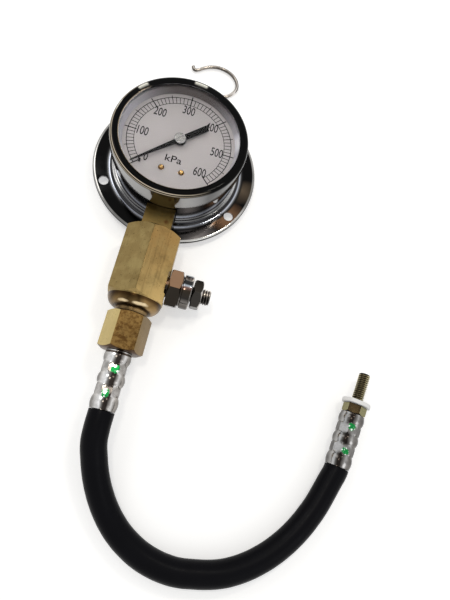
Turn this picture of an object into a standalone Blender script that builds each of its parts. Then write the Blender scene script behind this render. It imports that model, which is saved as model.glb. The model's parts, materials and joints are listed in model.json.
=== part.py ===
"""Fuel pressure gauge set: a flanged dial gauge on a brass coupling with a bleed valve and a short hose.

Sizes are in millimetres and degrees. The gauge is modelled in its own frame, with the pointer's axis as Z,
the back face at Z = 0, twelve o'clock along +Y and the stem along -Y. That frame is then tilted so that the
set lies as it does on a table: on the coupling's lower edge, the hook's eye and the far ferrule.
"""

from math import acos, asin, atan2, cos, pi, radians, sin, sqrt, tan

import bmesh
import bpy
from mathutils import Matrix, Vector

MM = 0.001

# Clearances
GAP = 0.3
PIVOT_GAP = 0.15

# Gauge case and flange
CASE_R = 32.0
CASE_WALL = 0.8
CASE_TOP = 27.6
CASE_CORNER = 1.6
FLANGE_SHEET = 1.0
FLANGE_BEAD = 1.2
COLLAR_WALL = 0.9
COLLAR_TOP = 4.7
COLLAR_FILLET = 1.3
FLANGE_WIDTH = 9.7
FLANGE_R = CASE_R + GAP + COLLAR_WALL + FLANGE_WIDTH
FLANGE_HOLE_INSET = 4.6
FLANGE_HOLE_CIRCLE_R = FLANGE_R - FLANGE_HOLE_INSET
FLANGE_HOLE_R = 2.45
FLANGE_HOLES = 3

# Bezel, glass and dial
BEZEL_WALL = 0.7
BEZEL_TOP = 31.4
BEZEL_SKIRT = 10.8
BEZEL_LIP = 4.4
BEZEL_R = CASE_R + GAP + BEZEL_WALL
BEZEL_ROLL_R = 1.8
LENS_CLEARANCE = 0.4
LENS_R = CASE_R + GAP - LENS_CLEARANCE
LENS_THICKNESS = 1.4
GASKET_THICKNESS = 0.8
GASKET_WIDTH = 1.9
SPACER_WALL = 2.4
SPACER_R = LENS_R - GASKET_WIDTH - GAP
SPACER_FLARE = 1.2
DIAL_CLEARANCE = 0.6
DIAL_R = CASE_R - CASE_WALL - DIAL_CLEARANCE
DIAL_FACE = 24.9
DIAL_THICKNESS = 0.8
DIAL_HOLE_R = 2.0
DIAL_SCREW_X = 4.87
DIAL_SCREW_Y = -16.4
DIAL_SCREW_HEAD_R = 1.5
DIAL_SCREW_HEAD = 0.9
DIAL_SCREW_EDGE = 14
DIAL_SCREW_CROWN = 55
DIAL_SCREW_R = 0.7
DIAL_SCREW_LENGTH = 4.0
DIAL_POST_R = 1.7
STOP_PIN_R = 0.5
STOP_PIN_HEIGHT = 2.4

# Pointer
POINTER_REST = -133.5
POINTER_TIP_CLEARANCE = 0.7
POINTER_TIP_R = SPACER_R - SPACER_WALL - POINTER_TIP_CLEARANCE
POINTER_TAIL_R = 15.5
POINTER_TAIL_WIDTH = 3.2
POINTER_ROOT_WIDTH = 2.3
POINTER_TIP_WIDTH = 0.5
POINTER_SHEET = 0.5
POINTER_LIFT = 1.7
POINTER_BOSS_R = 2.9
POINTER_BOSS = 1.4
POINTER_CAP_R = 2.8
POINTER_CAP = 0.9
STOP_PIN_INSET = 4.1
STOP_PIN_CIRCLE_R = POINTER_TIP_R - STOP_PIN_INSET

# Stem and its block
STEM_Z = 10.0
STEM_SQUARE = 14.0
STEM_REACH = 0.5
STEM_END = FLANGE_R + STEM_REACH
BLOCK_END = 11.0
SPIGOT_R = 6.4
SPIGOT_LENGTH = 11.0
PRESSURE_BORE_R = 1.8

# Bourdon tube
TUBE_R = 21.0
TUBE_WIDTH = 10.0
TUBE_DEPTH = 3.2
TUBE_WALL = 0.5
TUBE_START = 194.0
TUBE_TURN = 262.0
TIP_TURN = 9.0
TIP_PIN_TURN = 7.7
TIP_PIN_INSET = 0.92

# Movement
PLATE_THICKNESS = 1.0
BACK_PLATE_Z = 17.3
FRONT_PLATE_Z = 22.2
GEAR_MODULE = 0.3
PINION_TEETH = 12
SECTOR_FULL_TEETH = 96
SECTOR_TEETH = 12
GEAR_BACKLASH = 0.1
SECTOR_Z = 19.6
SECTOR_THICKNESS = 1.2
SECTOR_DIRECTION = -35.0
SECTOR_HUB_R = 2.1
SECTOR_TAIL_R = 4.5
SECTOR_TAIL_ANGLE = -36.9
TAIL_HALF_WIDTH = 1.1
TAIL_ROOT_ANGLE = 40
LINK_NECK_ANGLE = 40
LINK_THICKNESS = 0.6
LINK_EYE_R = 1.3
LINK_PIN_R = 0.5
LINK_PLAY = 0.2
ARBOR_R = 0.9
PIVOT_R = 0.5
SHAFT_R = 0.6
COLLET_R = 1.2
SPRING_TURNS = 5
SPRING_OUTER_R = 4.9
SPRING_STRIP = 0.16
SPRING_HEIGHT = 0.5
PILLAR_R = 1.0
PILLAR_SPIGOT_R = 0.6
PILLARS = {"pillar_upper": (-4.6, 4.2), "pillar_lower": (9.5, -16.3)}
MOVEMENT_SCREW_X = 4.5
MOVEMENT_SCREW_Y = -12.5
MOVEMENT_SCREW_R = 0.7
MOVEMENT_SCREW_HEAD_R = 1.5
MOVEMENT_SCREW_HEAD = 0.6
MOVEMENT_SCREW_DEPTH = 4.5

# Coupling
COUPLING_FLATS = 25.4
FITTING_GAP = 0.6
COUPLING_START = STEM_END + FITTING_GAP
COUPLING_HEX_LENGTH = 34.0
COUPLING_HEX_END = COUPLING_START + COUPLING_HEX_LENGTH
COUPLING_SHOULDER = 7.3
COUPLING_END = COUPLING_HEX_END + COUPLING_SHOULDER
COUPLING_CHAMFER_R = 12.9
COUPLING_NECK_R = 7.6
COUPLING_NECK = 1.6
COUPLING_SOCKET_DEPTH = 12.0
COUPLING_LOWER_DEPTH = 11.0
THROUGH_BORE_R = 2.5

# Bleed valve
VALVE_OFFSET = 24.2
VALVE_S = COUPLING_START + VALVE_OFFSET
VALVE_SPOT_R = 9.4
VALVE_SPOT_DEPTH = 0.9
VALVE_NECK_R = 4.8
VALVE_NECK_LENGTH = 8.4
VALVE_HEX_START = 13.1
VALVE_HEX_FLATS = 17.0
VALVE_HEX_LENGTH = 6.0
VALVE_HEX_TURN = 13.0
VALVE_COLLAR_R = 8.2
VALVE_COLLAR_LENGTH = 5.1
VALVE_SEAT_R = 1.5
VALVE_BALL_R = 2.2
BLEED_STUD_R = 3.9
BLEED_STUD_END = 33.4
NUT_FLATS = 13.0
NUT_THICKNESS = 4.4
NUT_TURN = 6.0

# Hose adapter, barbs and ferrules
ADAPTER_FLATS = 18.1
ADAPTER_START = COUPLING_END + FITTING_GAP
ADAPTER_HEX_LENGTH = 17.4
ADAPTER_TURN = 7.8
ADAPTER_SPIGOT_R = 4.8
ADAPTER_SPIGOT_LENGTH = 10.0
BARB_ROOT_R = 2.3
BARB_CREST_R = 2.9
BARB_BORE_R = 1.3
BARB_RIDGES = 3
HOSE_R = 5.7
HOSE_END_BORE_R = 3.25
FERRULE_LENGTH = 25.6
FERRULE_R = 6.15
FERRULE_WAIST_R = 5.45
FERRULE_BORE_R = 4.7
FERRULE_MOUTH_R = 5.2
FERRULE_FLATS = 8

# Far fitting
FAR_HEX_FLATS = 10.0
FAR_HEX_LENGTH = 4.2
FAR_STUD_R = 2.95
FAR_STUD_LENGTH = 16.2
FAR_BORE_R = 1.0
WASHER_R = 7.1
WASHER_THICKNESS = 2.0
FAR_HEADING = 8.8

# Hook
WIRE_R = 0.95
EYE_R = 3.3
EYE_OPENING = 72.0
HOOK_ROUTE = [(0.3, 4.8), (3.5, 8.8), (9.0, 11.8), (15.2, 14.6), (19.0, 18.7), (20.1, 23.1),
              (18.2, 27.9), (13.6, 31.4), (7.6, 32.5), (2.3, 31.2), (-1.7, 28.7), (-4.5, 26.4),
              (-6.2, 26.1), (-7.5, 27.9)]

# Hose centreline on the table, in the set's own resting frame
HOSE_ROUTE = [(0.3, -114.0, 15.0), (2.4, -121.7, 12.9), (6.1, -130.8, 10.0), (12.3, -140.7, 7.4),
              (20.5, -149.0, 6.2), (30.4, -155.0, 5.8), (39.8, -158.0, 5.8), (48.7, -159.0, 5.8),
              (57.1, -158.2, 5.8), (65.9, -156.6, 5.8), (75.4, -152.7, 5.8), (84.6, -146.6, 5.8),
              (92.6, -139.0, 5.8), (99.1, -130.5, 5.8), (104.6, -120.6, 5.9), (108.4, -111.1, 6.0)]
HOSE_FAR_END = (111.5, -102.2)
HOSE_POINT_COUNT = 30
HOSE_END_STRAIGHT = 1.5

# Facets round a circle
COARSE_SIDES = 10
MEDIUM_SIDES = 18
FINE_SIDES = 32
TURNING_SIDES = 30


def clear_scene():
    """Empty the scene of every object that it starts with."""
    for obj in list(bpy.data.objects):
        bpy.data.objects.remove(obj, do_unlink=True)


def finish_of(name, color, roughness, metallic):
    """A Principled material with a plain colour."""
    material = bpy.data.materials.new(name)
    material.use_nodes = True
    shader = material.node_tree.nodes["Principled BSDF"]
    shader.inputs["Base Color"].default_value = (*color, 1.0)
    shader.inputs["Roughness"].default_value = roughness
    shader.inputs["Metallic"].default_value = metallic
    material.diffuse_color = (*color, 1.0)
    return material


def frame_empty(name, parent=None, location=(0, 0, 0), rotation=(0, 0, 0)):
    """An empty that carries pieces; its location is in millimetres and its rotation in radians."""
    empty = bpy.data.objects.new(name, None)
    bpy.context.collection.objects.link(empty)
    empty.parent = parent
    empty.location = Vector(location) * MM
    empty.rotation_euler = rotation
    return empty


def put(name, bm, material, parent, location=(0, 0, 0), rotation=(0, 0, 0), sharp=35.0):
    """Turn a bmesh in millimetres into a named object in metres."""
    bmesh.ops.scale(bm, vec=(MM, MM, MM), verts=bm.verts)
    bmesh.ops.recalc_face_normals(bm, faces=bm.faces)
    mesh = bpy.data.meshes.new(name)
    bm.to_mesh(mesh)
    bm.free()
    mesh.shade_smooth()
    mesh.set_sharp_from_angle(angle=radians(sharp))
    if material is not None:
        mesh.materials.append(material)
    obj = bpy.data.objects.new(name, mesh)
    bpy.context.collection.objects.link(obj)
    obj.parent = parent
    obj.location = Vector(location) * MM
    obj.rotation_euler = rotation
    return obj


def combine(obj, tool, operation="DIFFERENCE"):
    """Add a boolean with a hidden tool object to obj."""
    tool.hide_render = True
    tool.display_type = "WIRE"
    modifier = obj.modifiers.new(operation.lower(), "BOOLEAN")
    modifier.operation = operation
    modifier.solver = "EXACT"
    modifier.object = tool


def arc(center, radius, start, end, steps):
    """Points on an arc in a plane, from start to end degrees, both ends included."""
    points = []
    for i in range(steps + 1):
        angle = radians(start + (end - start) * i / steps)
        points.append((center[0] + radius * cos(angle), center[1] + radius * sin(angle)))
    return points


def turned_mesh(outline, segments):
    """Spin a section of (radius, height) points about Z; a section that meets the axis closes there."""
    bm = bmesh.new()
    verts = [bm.verts.new((r, 0, z)) for r, z in outline]
    count = len(outline)
    edges = []
    for i in range(count):
        j = (i + 1) % count
        if outline[i][0] == 0 and outline[j][0] == 0:
            continue
        edges.append(bm.edges.new((verts[i], verts[j])))
    bmesh.ops.spin(bm, geom=verts + edges, axis=(0, 0, 1), cent=(0, 0, 0), angle=2 * pi,
                   steps=segments, use_merge=True)
    bmesh.ops.remove_doubles(bm, verts=bm.verts, dist=1e-4)
    return bm


def turned(name, outline, material, parent, segments=MEDIUM_SIDES, **place):
    """A turned piece about its local Z."""
    return put(name, turned_mesh(outline, segments), material, parent, **place)


def ring_outline(inner, outer, low, high):
    """Section of a plain ring."""
    return [(inner, low), (outer, low), (outer, high), (inner, high)]


def rod_outline(radius, low, high, chamfer=0.0):
    """Section of a plain rod, chamfered at its top if asked."""
    if chamfer:
        return [(0, low), (radius, low), (radius, high - chamfer), (radius - chamfer, high), (0, high)]
    return [(0, low), (radius, low), (radius, high), (0, high)]


def prism_mesh(outline, low, high):
    """Extrude a closed outline in XY from low to high."""
    bm = bmesh.new()
    face = bm.faces.new([bm.verts.new((x, y, low)) for x, y in outline])
    extruded = bmesh.ops.extrude_face_region(bm, geom=[face])
    top = [item for item in extruded["geom"] if isinstance(item, bmesh.types.BMVert)]
    bmesh.ops.translate(bm, verts=top, vec=(0, 0, high - low))
    return bm


def prism(name, outline, low, high, material, parent, **place):
    """An extruded piece along its local Z."""
    return put(name, prism_mesh(outline, low, high), material, parent, **place)


def polygon(sides, across_flats, turn):
    """Corners of a regular polygon; turn is the angle of one corner from +X in degrees."""
    radius = across_flats / 2 / cos(pi / sides)
    return [(radius * cos(radians(turn) + 2 * pi * i / sides),
             radius * sin(radians(turn) + 2 * pi * i / sides)) for i in range(sides)]


def box_tool(name, low, high, parent):
    """A hidden box for a cut, between two corners."""
    outline = [(low[0], low[1]), (high[0], low[1]), (high[0], high[1]), (low[0], high[1])]
    return prism(name, outline, low[2], high[2], None, parent)


def drill(obj, name, radius, low, high, parent, segments=COARSE_SIDES, **place):
    """Cut a round hole into obj along the tool's local Z."""
    combine(obj, turned(name, rod_outline(radius, low, high), None, parent, segments, **place))


def on_circle(radius, clock):
    """A point at a clock angle, measured from +Y towards +X."""
    return radius * sin(radians(clock)), radius * cos(radians(clock))


def make_finishes():
    """One material for each finish of the set."""
    return {
        "chrome": finish_of("chrome", (0.78, 0.78, 0.8), 0.08, 1.0),
        "nickel": finish_of("nickel", (0.62, 0.6, 0.57), 0.22, 1.0),
        "brass": finish_of("brass", (0.62, 0.47, 0.2), 0.34, 1.0),
        "polished_brass": finish_of("polished_brass", (0.72, 0.52, 0.2), 0.2, 1.0),
        "zinc_yellow": finish_of("zinc_yellow", (0.55, 0.5, 0.25), 0.3, 1.0),
        "steel": finish_of("steel", (0.5, 0.5, 0.52), 0.3, 1.0),
        "bronze": finish_of("bronze", (0.55, 0.36, 0.18), 0.3, 1.0),
        "glass": finish_of("glass", (0.95, 0.97, 0.97), 0.03, 0.0),
        "dial_white": finish_of("dial_white", (0.82, 0.82, 0.83), 0.5, 0.0),
        "ring_grey": finish_of("ring_grey", (0.7, 0.7, 0.7), 0.45, 0.0),
        "pointer_black": finish_of("pointer_black", (0.02, 0.02, 0.02), 0.4, 0.0),
        "rubber": finish_of("rubber", (0.02, 0.02, 0.022), 0.5, 0.0),
        "nylon": finish_of("nylon", (0.88, 0.88, 0.86), 0.4, 0.0),
    }


def coupling_corner_r():
    """Distance from the stem's axis to a corner of the coupling's hexagon."""
    return COUPLING_FLATS / sqrt(3)


def coupling_chamfer_length():
    """Length of the thirty-degree chamfer at each end of the coupling's hexagon."""
    return (coupling_corner_r() - COUPLING_CHAMFER_R) * tan(radians(30)) + 0.6


def eye_center():
    """Centre of the hook's eye in the gauge frame: the flange's bead rests on the eye's wire."""
    return Vector((0, FLANGE_HOLE_CIRCLE_R + EYE_R, EYE_R - WIRE_R - GAP))


def resting_frame():
    """Empty that lays the gauge frame on the table, on the coupling's corner and the hook's eye."""
    eye = eye_center()
    eye_low = eye.z - EYE_R - WIRE_R
    corner_y = -(COUPLING_HEX_END - coupling_chamfer_length())
    corner_low = STEM_Z - coupling_corner_r()
    tilt = atan2(eye_low - corner_low, eye.y - corner_y)
    turn = Matrix.Rotation(-tilt, 3, "X")
    lift = -(turn @ Vector((0, corner_y, corner_low))).z
    far_y = (turn @ eye).y + max(y for x, y in HOOK_ROUTE) + WIRE_R
    ferrule_end = -(ferrule_start() + FERRULE_LENGTH)
    near_y = (turn @ Vector((0, ferrule_end, STEM_Z - FERRULE_R))).y
    return frame_empty("gauge_frame", None, (0, -(far_y + near_y) / 2, lift), (-tilt, 0, 0)), tilt


def make_case(chrome, frame):
    """Pressed cup with a window in its wall for the stem."""
    inner = CASE_R - CASE_WALL
    outline = [(0, 0)]
    outline += arc((CASE_R - CASE_CORNER, CASE_CORNER), CASE_CORNER, -90, 0, 2)
    outline += [(CASE_R, CASE_TOP), (inner, CASE_TOP)]
    outline += arc((inner - CASE_CORNER / 2, CASE_WALL + CASE_CORNER / 2), CASE_CORNER / 2, 0, -90, 1)
    outline += [(0, CASE_WALL)]
    case = turned("case", outline, chrome, frame, FINE_SIDES)
    half = STEM_SQUARE / 2 + GAP + 0.1
    combine(case, box_tool("case_window", (-half, -CASE_R - 2, STEM_Z - half),
                           (half, -CASE_R * 0.8, STEM_Z + half), frame))


def make_flange(chrome, frame):
    """Pressed ring with a stepped collar round the case, a rolled rim and three holes."""
    inner = CASE_R + GAP
    outer = inner + COLLAR_WALL
    top = 2 * FLANGE_BEAD
    bead = FLANGE_R - FLANGE_BEAD
    low = top - FLANGE_SHEET
    outline = [(inner, low + 0.4), (inner, COLLAR_TOP), (outer - 0.3, COLLAR_TOP), (outer, COLLAR_TOP - 0.3)]
    outline += arc((outer + COLLAR_FILLET, top + COLLAR_FILLET), COLLAR_FILLET, 180, 270, 2)
    outline += arc((bead, FLANGE_BEAD), FLANGE_BEAD, 90, -170, 6)
    outline += [(outer + 1.5, low), (inner + 0.4, low)]
    flange = turned("flange", outline, chrome, frame, FINE_SIDES)
    for i in range(FLANGE_HOLES):
        x, y = on_circle(FLANGE_HOLE_CIRCLE_R, 360 * i / FLANGE_HOLES)
        drill(flange, f"flange_hole_{i}", FLANGE_HOLE_R, -1, top + 2, frame, location=(x, y, 0))
    half = STEM_SQUARE / 2 + GAP
    combine(flange, box_tool("collar_notch", (-half, -FLANGE_R, STEM_Z - half),
                             (half, -CASE_R * 0.8, COLLAR_TOP + 2), frame))


def make_bezel(chrome, frame):
    """Chrome ring, rolled over at the front, with a lip over the glass."""
    inner = BEZEL_R - BEZEL_WALL
    mouth = BEZEL_R - BEZEL_LIP
    lip = BEZEL_TOP - BEZEL_WALL
    center = (BEZEL_R - BEZEL_ROLL_R, BEZEL_TOP - BEZEL_ROLL_R)
    mouth_center = (mouth + BEZEL_WALL, lip + 0.1)
    outline = [(inner, BEZEL_TOP - BEZEL_SKIRT), (BEZEL_R, BEZEL_TOP - BEZEL_SKIRT)]
    outline += arc(center, BEZEL_ROLL_R, 0, 90, 4)
    outline += arc(mouth_center, BEZEL_WALL - 0.1, 90, 180, 3)
    outline += [(mouth + 0.1, lip), (center[0], lip)]
    outline += arc(center, BEZEL_ROLL_R - BEZEL_WALL, 60, 0, 2)
    turned("bezel", outline, chrome, frame, FINE_SIDES)


def lens_bottom():
    """Height of the glass's underside."""
    return BEZEL_TOP - BEZEL_WALL - GAP - LENS_THICKNESS


def make_glazing(finishes, frame):
    """The glass, its gasket and the spacer ring between dial and glass."""
    bottom = lens_bottom()
    pane = rod_outline(LENS_R, bottom, bottom + LENS_THICKNESS)
    turned("lens", pane, finishes["glass"], frame, FINE_SIDES)
    gasket_top = bottom - GAP
    strip = ring_outline(LENS_R - GASKET_WIDTH, LENS_R, gasket_top - GASKET_THICKNESS, gasket_top)
    turned("lens_gasket", strip, finishes["rubber"], frame, FINE_SIDES)
    low = DIAL_FACE + GAP
    inner = SPACER_R - SPACER_WALL
    outline = [(inner, low), (SPACER_R, low), (SPACER_R, gasket_top), (inner + SPACER_FLARE, gasket_top)]
    turned("inner_ring", outline, finishes["ring_grey"], frame, FINE_SIDES)


def make_dial(finishes, frame):
    """Dial plate, its two screws on their posts, and the zero stop."""
    low = DIAL_FACE - DIAL_THICKNESS
    disc = ring_outline(DIAL_HOLE_R, DIAL_R, low, DIAL_FACE)
    dial = turned("dial", disc, finishes["dial_white"], frame, FINE_SIDES)
    head = DIAL_FACE + GAP
    base = STEM_Z + STEM_SQUARE / 2 + GAP
    for side, name in ((-1, "left"), (1, "right")):
        spot = (side * DIAL_SCREW_X, DIAL_SCREW_Y, 0)
        bore = DIAL_SCREW_R + GAP
        drill(dial, f"dial_screw_hole_{name}", bore, low - 1, DIAL_FACE + 1, frame, location=spot)
        dome = arc((0, head - 0.35), DIAL_SCREW_HEAD_R, DIAL_SCREW_EDGE, DIAL_SCREW_CROWN, 3)
        outline = [(0, head - DIAL_SCREW_LENGTH), (DIAL_SCREW_R, head - DIAL_SCREW_LENGTH),
                   (DIAL_SCREW_R, head), (DIAL_SCREW_HEAD_R, head)] + dome + [(0, head + DIAL_SCREW_HEAD)]
        turned(f"dial_screw_{name}", outline, finishes["polished_brass"], frame, COARSE_SIDES, location=spot)
        well = head - DIAL_SCREW_LENGTH - GAP
        outline = [(0, base), (DIAL_POST_R, base), (DIAL_POST_R, low - GAP), (bore, low - GAP),
                   (bore, well), (0, well)]
        turned(f"dial_post_{name}", outline, finishes["brass"], frame, COARSE_SIDES, location=spot)
    beside = degrees_for(POINTER_TIP_WIDTH / 2 + 0.2 + STOP_PIN_R + GAP, STOP_PIN_CIRCLE_R)
    x, y = on_circle(STOP_PIN_CIRCLE_R, POINTER_REST - beside)
    drill(dial, "stop_pin_hole", STOP_PIN_R + PIVOT_GAP, low - 1, DIAL_FACE + 1, frame, location=(x, y, 0))
    turned("stop_pin", rod_outline(STOP_PIN_R, low, DIAL_FACE + STOP_PIN_HEIGHT, 0.15),
           finishes["pointer_black"], frame, COARSE_SIDES, location=(x, y, 0))


def degrees_for(length, radius):
    """Angle that a length takes up at a radius."""
    return asin(length / radius) * 180 / pi


def make_pointer(finishes, frame):
    """Pointer blade with its tail on a boss, under a slotted cap."""
    low = DIAL_FACE + POINTER_LIFT
    turn = (0, 0, -radians(POINTER_REST))
    half_tail = POINTER_TAIL_WIDTH / 2
    half_root = POINTER_ROOT_WIDTH / 2
    half_tip = POINTER_TIP_WIDTH / 2
    blade = [(-half_tail, -POINTER_TAIL_R), (half_tail, -POINTER_TAIL_R), (half_tail * 0.85, 0),
             (half_root, POINTER_BOSS_R), (half_tip, POINTER_TIP_R), (-half_tip, POINTER_TIP_R),
             (-half_root, POINTER_BOSS_R), (-half_tail * 0.85, 0)]
    pointer = prism("pointer", blade, low, low + POINTER_SHEET, finishes["pointer_black"], frame,
                    rotation=turn)
    boss_low = low - POINTER_BOSS / 2
    combine(pointer, turned("pointer_boss", rod_outline(POINTER_BOSS_R, boss_low, boss_low + POINTER_BOSS),
                            None, frame, MEDIUM_SIDES, rotation=turn), "UNION")
    drill(pointer, "pointer_bore", SHAFT_R + PIVOT_GAP, boss_low - 1, low + 3, frame, rotation=turn)
    cap_low = boss_low + POINTER_BOSS + GAP
    cap_top = cap_low + POINTER_CAP
    outline = [(0, cap_low), (POINTER_CAP_R, cap_low), (POINTER_CAP_R, cap_top - 0.3),
               (POINTER_CAP_R - 0.3, cap_top), (0, cap_top)]
    cap = turned("pointer_cap", outline, finishes["chrome"], frame, MEDIUM_SIDES, rotation=turn)
    drill(cap, "cap_bore", SHAFT_R + PIVOT_GAP, cap_low - 1, cap_low + POINTER_CAP / 2, frame, rotation=turn)
    slot = POINTER_CAP / 3
    combine(cap, box_tool("cap_slot", (-0.35, -POINTER_CAP_R - 1, cap_top - slot),
                          (0.35, POINTER_CAP_R + 1, cap_top + 1), cap))


def tube_section(half_depth, half_width, sides=8):
    """Flattened oval of the Bourdon tube: (radial, along Z) offsets."""
    points = []
    for i in range(sides):
        angle = 2 * pi * i / sides
        c, s = cos(angle), sin(angle)
        points.append((half_depth * abs(c) ** 0.6 * (1 if c >= 0 else -1),
                       half_width * abs(s) ** 0.6 * (1 if s >= 0 else -1)))
    return points


def sweep_round(bm, section, start, turn, steps):
    """Rings of vertices that follow the tube's circle clockwise, and the faces between them."""
    rings = []
    for i in range(steps + 1):
        clock = start + turn * i / steps
        ring = []
        for depth, height in section:
            x, y = on_circle(TUBE_R + depth, clock)
            ring.append(bm.verts.new((x, y, STEM_Z + height)))
        rings.append(ring)
    count = len(section)
    for ring, following in zip(rings, rings[1:]):
        for i in range(count):
            j = (i + 1) % count
            bm.faces.new((ring[i], ring[j], following[j], following[i]))
    return rings


def join_rings(bm, first, second):
    """Close the wall between two rings of the same size at an open end."""
    count = len(first)
    for i in range(count):
        j = (i + 1) % count
        bm.faces.new((first[i], first[j], second[j], second[i]))


def make_tube(finishes, frame):
    """C-shaped tube, open into the stem's block at its root and facing the tip piece at its end."""
    bm = bmesh.new()
    steps = round(TUBE_TURN / 16)
    outer = sweep_round(bm, tube_section(TUBE_DEPTH / 2, TUBE_WIDTH / 2), TUBE_START, TUBE_TURN, steps)
    inner = sweep_round(bm, tube_section(TUBE_DEPTH / 2 - TUBE_WALL, TUBE_WIDTH / 2 - TUBE_WALL),
                        TUBE_START, TUBE_TURN, steps)
    join_rings(bm, outer[0], inner[0])
    join_rings(bm, outer[-1], inner[-1])
    put("bourdon_tube", bm, finishes["bronze"], frame)


def sector_center():
    """The sector's axis, one centre distance from the pointer's."""
    distance = GEAR_MODULE * (PINION_TEETH + SECTOR_FULL_TEETH) / 2
    angle = radians(SECTOR_DIRECTION)
    return Vector((distance * cos(angle), distance * sin(angle), 0))


def tail_pin():
    """The sector's tail pin at rest."""
    angle = radians(SECTOR_TAIL_ANGLE)
    return sector_center() + Vector((SECTOR_TAIL_R * cos(angle), SECTOR_TAIL_R * sin(angle), 0))


def tip_pin():
    """The link's pivot on the tube's tip at rest."""
    x, y = on_circle(TUBE_R - TIP_PIN_INSET, TUBE_START + TUBE_TURN + TIP_PIN_TURN)
    return Vector((x, y, 0))


def link_bottom():
    """Height of the link's underside, over the sector."""
    return SECTOR_Z + SECTOR_THICKNESS + GAP


def pin_top():
    """Height of the two link pins' ends, under the front plate."""
    return link_bottom() + LINK_THICKNESS + 0.2


def make_socket(finishes, frame):
    """Square stem, mounting block and threaded spigot in one piece of brass."""
    half = STEM_SQUARE / 2
    square = polygon(4, STEM_SQUARE, 45)
    stem = frame_empty("stem_axis", frame, (0, 0, STEM_Z), (pi / 2, 0, 0))
    socket = prism("socket", square, BLOCK_END, STEM_END, finishes["brass"], stem)
    spigot_end = STEM_END + SPIGOT_LENGTH
    spigot = rod_outline(SPIGOT_R, STEM_END - 1, spigot_end, 0.6)
    combine(socket, turned("spigot", spigot, None, stem), "UNION")
    drill(socket, "pressure_bore", PRESSURE_BORE_R, TUBE_R - 3, spigot_end + 1, stem)
    bm = bmesh.new()
    rings = sweep_round(bm, tube_section(TUBE_DEPTH / 2 + GAP, TUBE_WIDTH / 2 + GAP), TUBE_START - 2, 12, 2)
    bm.faces.new(rings[0])
    bm.faces.new(rings[-1])
    combine(socket, put("tube_pocket", bm, None, frame))
    drill(socket, "cross_bore", TUBE_DEPTH / 2 - TUBE_WALL, -half + 1.5, 0, frame,
          location=(0, -TUBE_R, STEM_Z), rotation=(0, pi / 2, 0))
    for side, name in ((-1, "left"), (1, "right")):
        drill(socket, f"movement_hole_{name}", MOVEMENT_SCREW_R + GAP,
              BACK_PLATE_Z - MOVEMENT_SCREW_DEPTH - GAP, BACK_PLATE_Z + 1, frame,
              location=(side * MOVEMENT_SCREW_X, MOVEMENT_SCREW_Y, 0))
    return stem


def make_tube_tip(finishes, frame):
    """Closed end of the tube, with the pivot post for the link."""
    start = TUBE_START + TUBE_TURN + degrees_for(GAP, TUBE_R)
    low = STEM_Z - TUBE_WIDTH / 2
    high = STEM_Z + TUBE_WIDTH / 2
    reach = TUBE_DEPTH / 2 + 0.4
    outline = [on_circle(TUBE_R + reach, start + TIP_TURN * i / 3) for i in range(4)]
    outline += [on_circle(TUBE_R - reach, start + TIP_TURN * i / 3) for i in range(3, -1, -1)]
    pin = tip_pin()
    local = [(x - pin.x, y - pin.y) for x, y in outline]
    tip = prism("tube_tip", local, low, high, finishes["brass"], frame, location=pin)
    post_top = link_bottom() - GAP
    outline = [(0, high - 2), (1.1, high - 2), (1.1, post_top), (LINK_PIN_R, post_top),
               (LINK_PIN_R, pin_top()), (0, pin_top())]
    combine(tip, turned("tip_post", outline, None, frame, COARSE_SIDES, location=pin), "UNION")


def tooth_flank(teeth, addendum, dedendum, backlash):
    """Half-angles of one tooth at rising radii, on an involute of twenty degrees."""
    pressure = radians(20)
    pitch_r = GEAR_MODULE * teeth / 2
    base_r = pitch_r * cos(pressure)
    half_pitch_angle = (pi * GEAR_MODULE / 2 - backlash) / 2 / pitch_r
    involute = tan(pressure) - pressure

    def half_angle(radius):
        slope = acos(min(1.0, base_r / radius))
        return half_pitch_angle + involute - (tan(slope) - slope)

    root_r = pitch_r - dedendum
    tip_r = pitch_r + addendum
    start_r = max(base_r, root_r)
    radii = [start_r, pitch_r, tip_r]
    flank = [(r, half_angle(r)) for r in radii]
    if root_r < base_r:
        flank.insert(0, (root_r, half_angle(base_r)))
    return flank


def gear_teeth(teeth, first_angle, count):
    """Outline of a run of teeth, counter-clockwise; first_angle is the first tooth's middle, in radians."""
    addendum = 0.75 * GEAR_MODULE
    dedendum = 1.1 * GEAR_MODULE
    flank = tooth_flank(teeth, addendum, dedendum, GEAR_BACKLASH / 2)
    points = []
    for i in range(count):
        middle = first_angle + 2 * pi * i / teeth
        points += [(r * cos(middle - a), r * sin(middle - a)) for r, a in flank]
        points += [(r * cos(middle + a), r * sin(middle + a)) for r, a in reversed(flank)]
    return points


def make_pinion(finishes, frame):
    """Pointer arbor with the pinion, the spring's collet and a pivot in the back plate."""
    toward_sector = radians(SECTOR_DIRECTION)
    first = toward_sector + pi / PINION_TEETH
    low = SECTOR_Z - 0.3
    high = SECTOR_Z + SECTOR_THICKNESS + 0.2
    pinion = prism("pinion_shaft", gear_teeth(PINION_TEETH, first, PINION_TEETH), low, high,
                   finishes["steel"], frame)
    top = DIAL_FACE + POINTER_LIFT + POINTER_BOSS / 2 + GAP + POINTER_CAP / 4
    bottom = BACK_PLATE_Z + 0.1
    shoulder = BACK_PLATE_Z + PLATE_THICKNESS + GAP
    collet_top = FRONT_PLATE_Z - GAP
    outline = [(0, bottom), (PIVOT_R, bottom), (PIVOT_R, shoulder), (ARBOR_R, shoulder), (ARBOR_R, high),
               (COLLET_R, high), (COLLET_R, collet_top), (SHAFT_R, collet_top), (SHAFT_R, top), (0, top)]
    combine(pinion, turned("arbor", outline, None, frame, COARSE_SIDES), "UNION")


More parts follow.
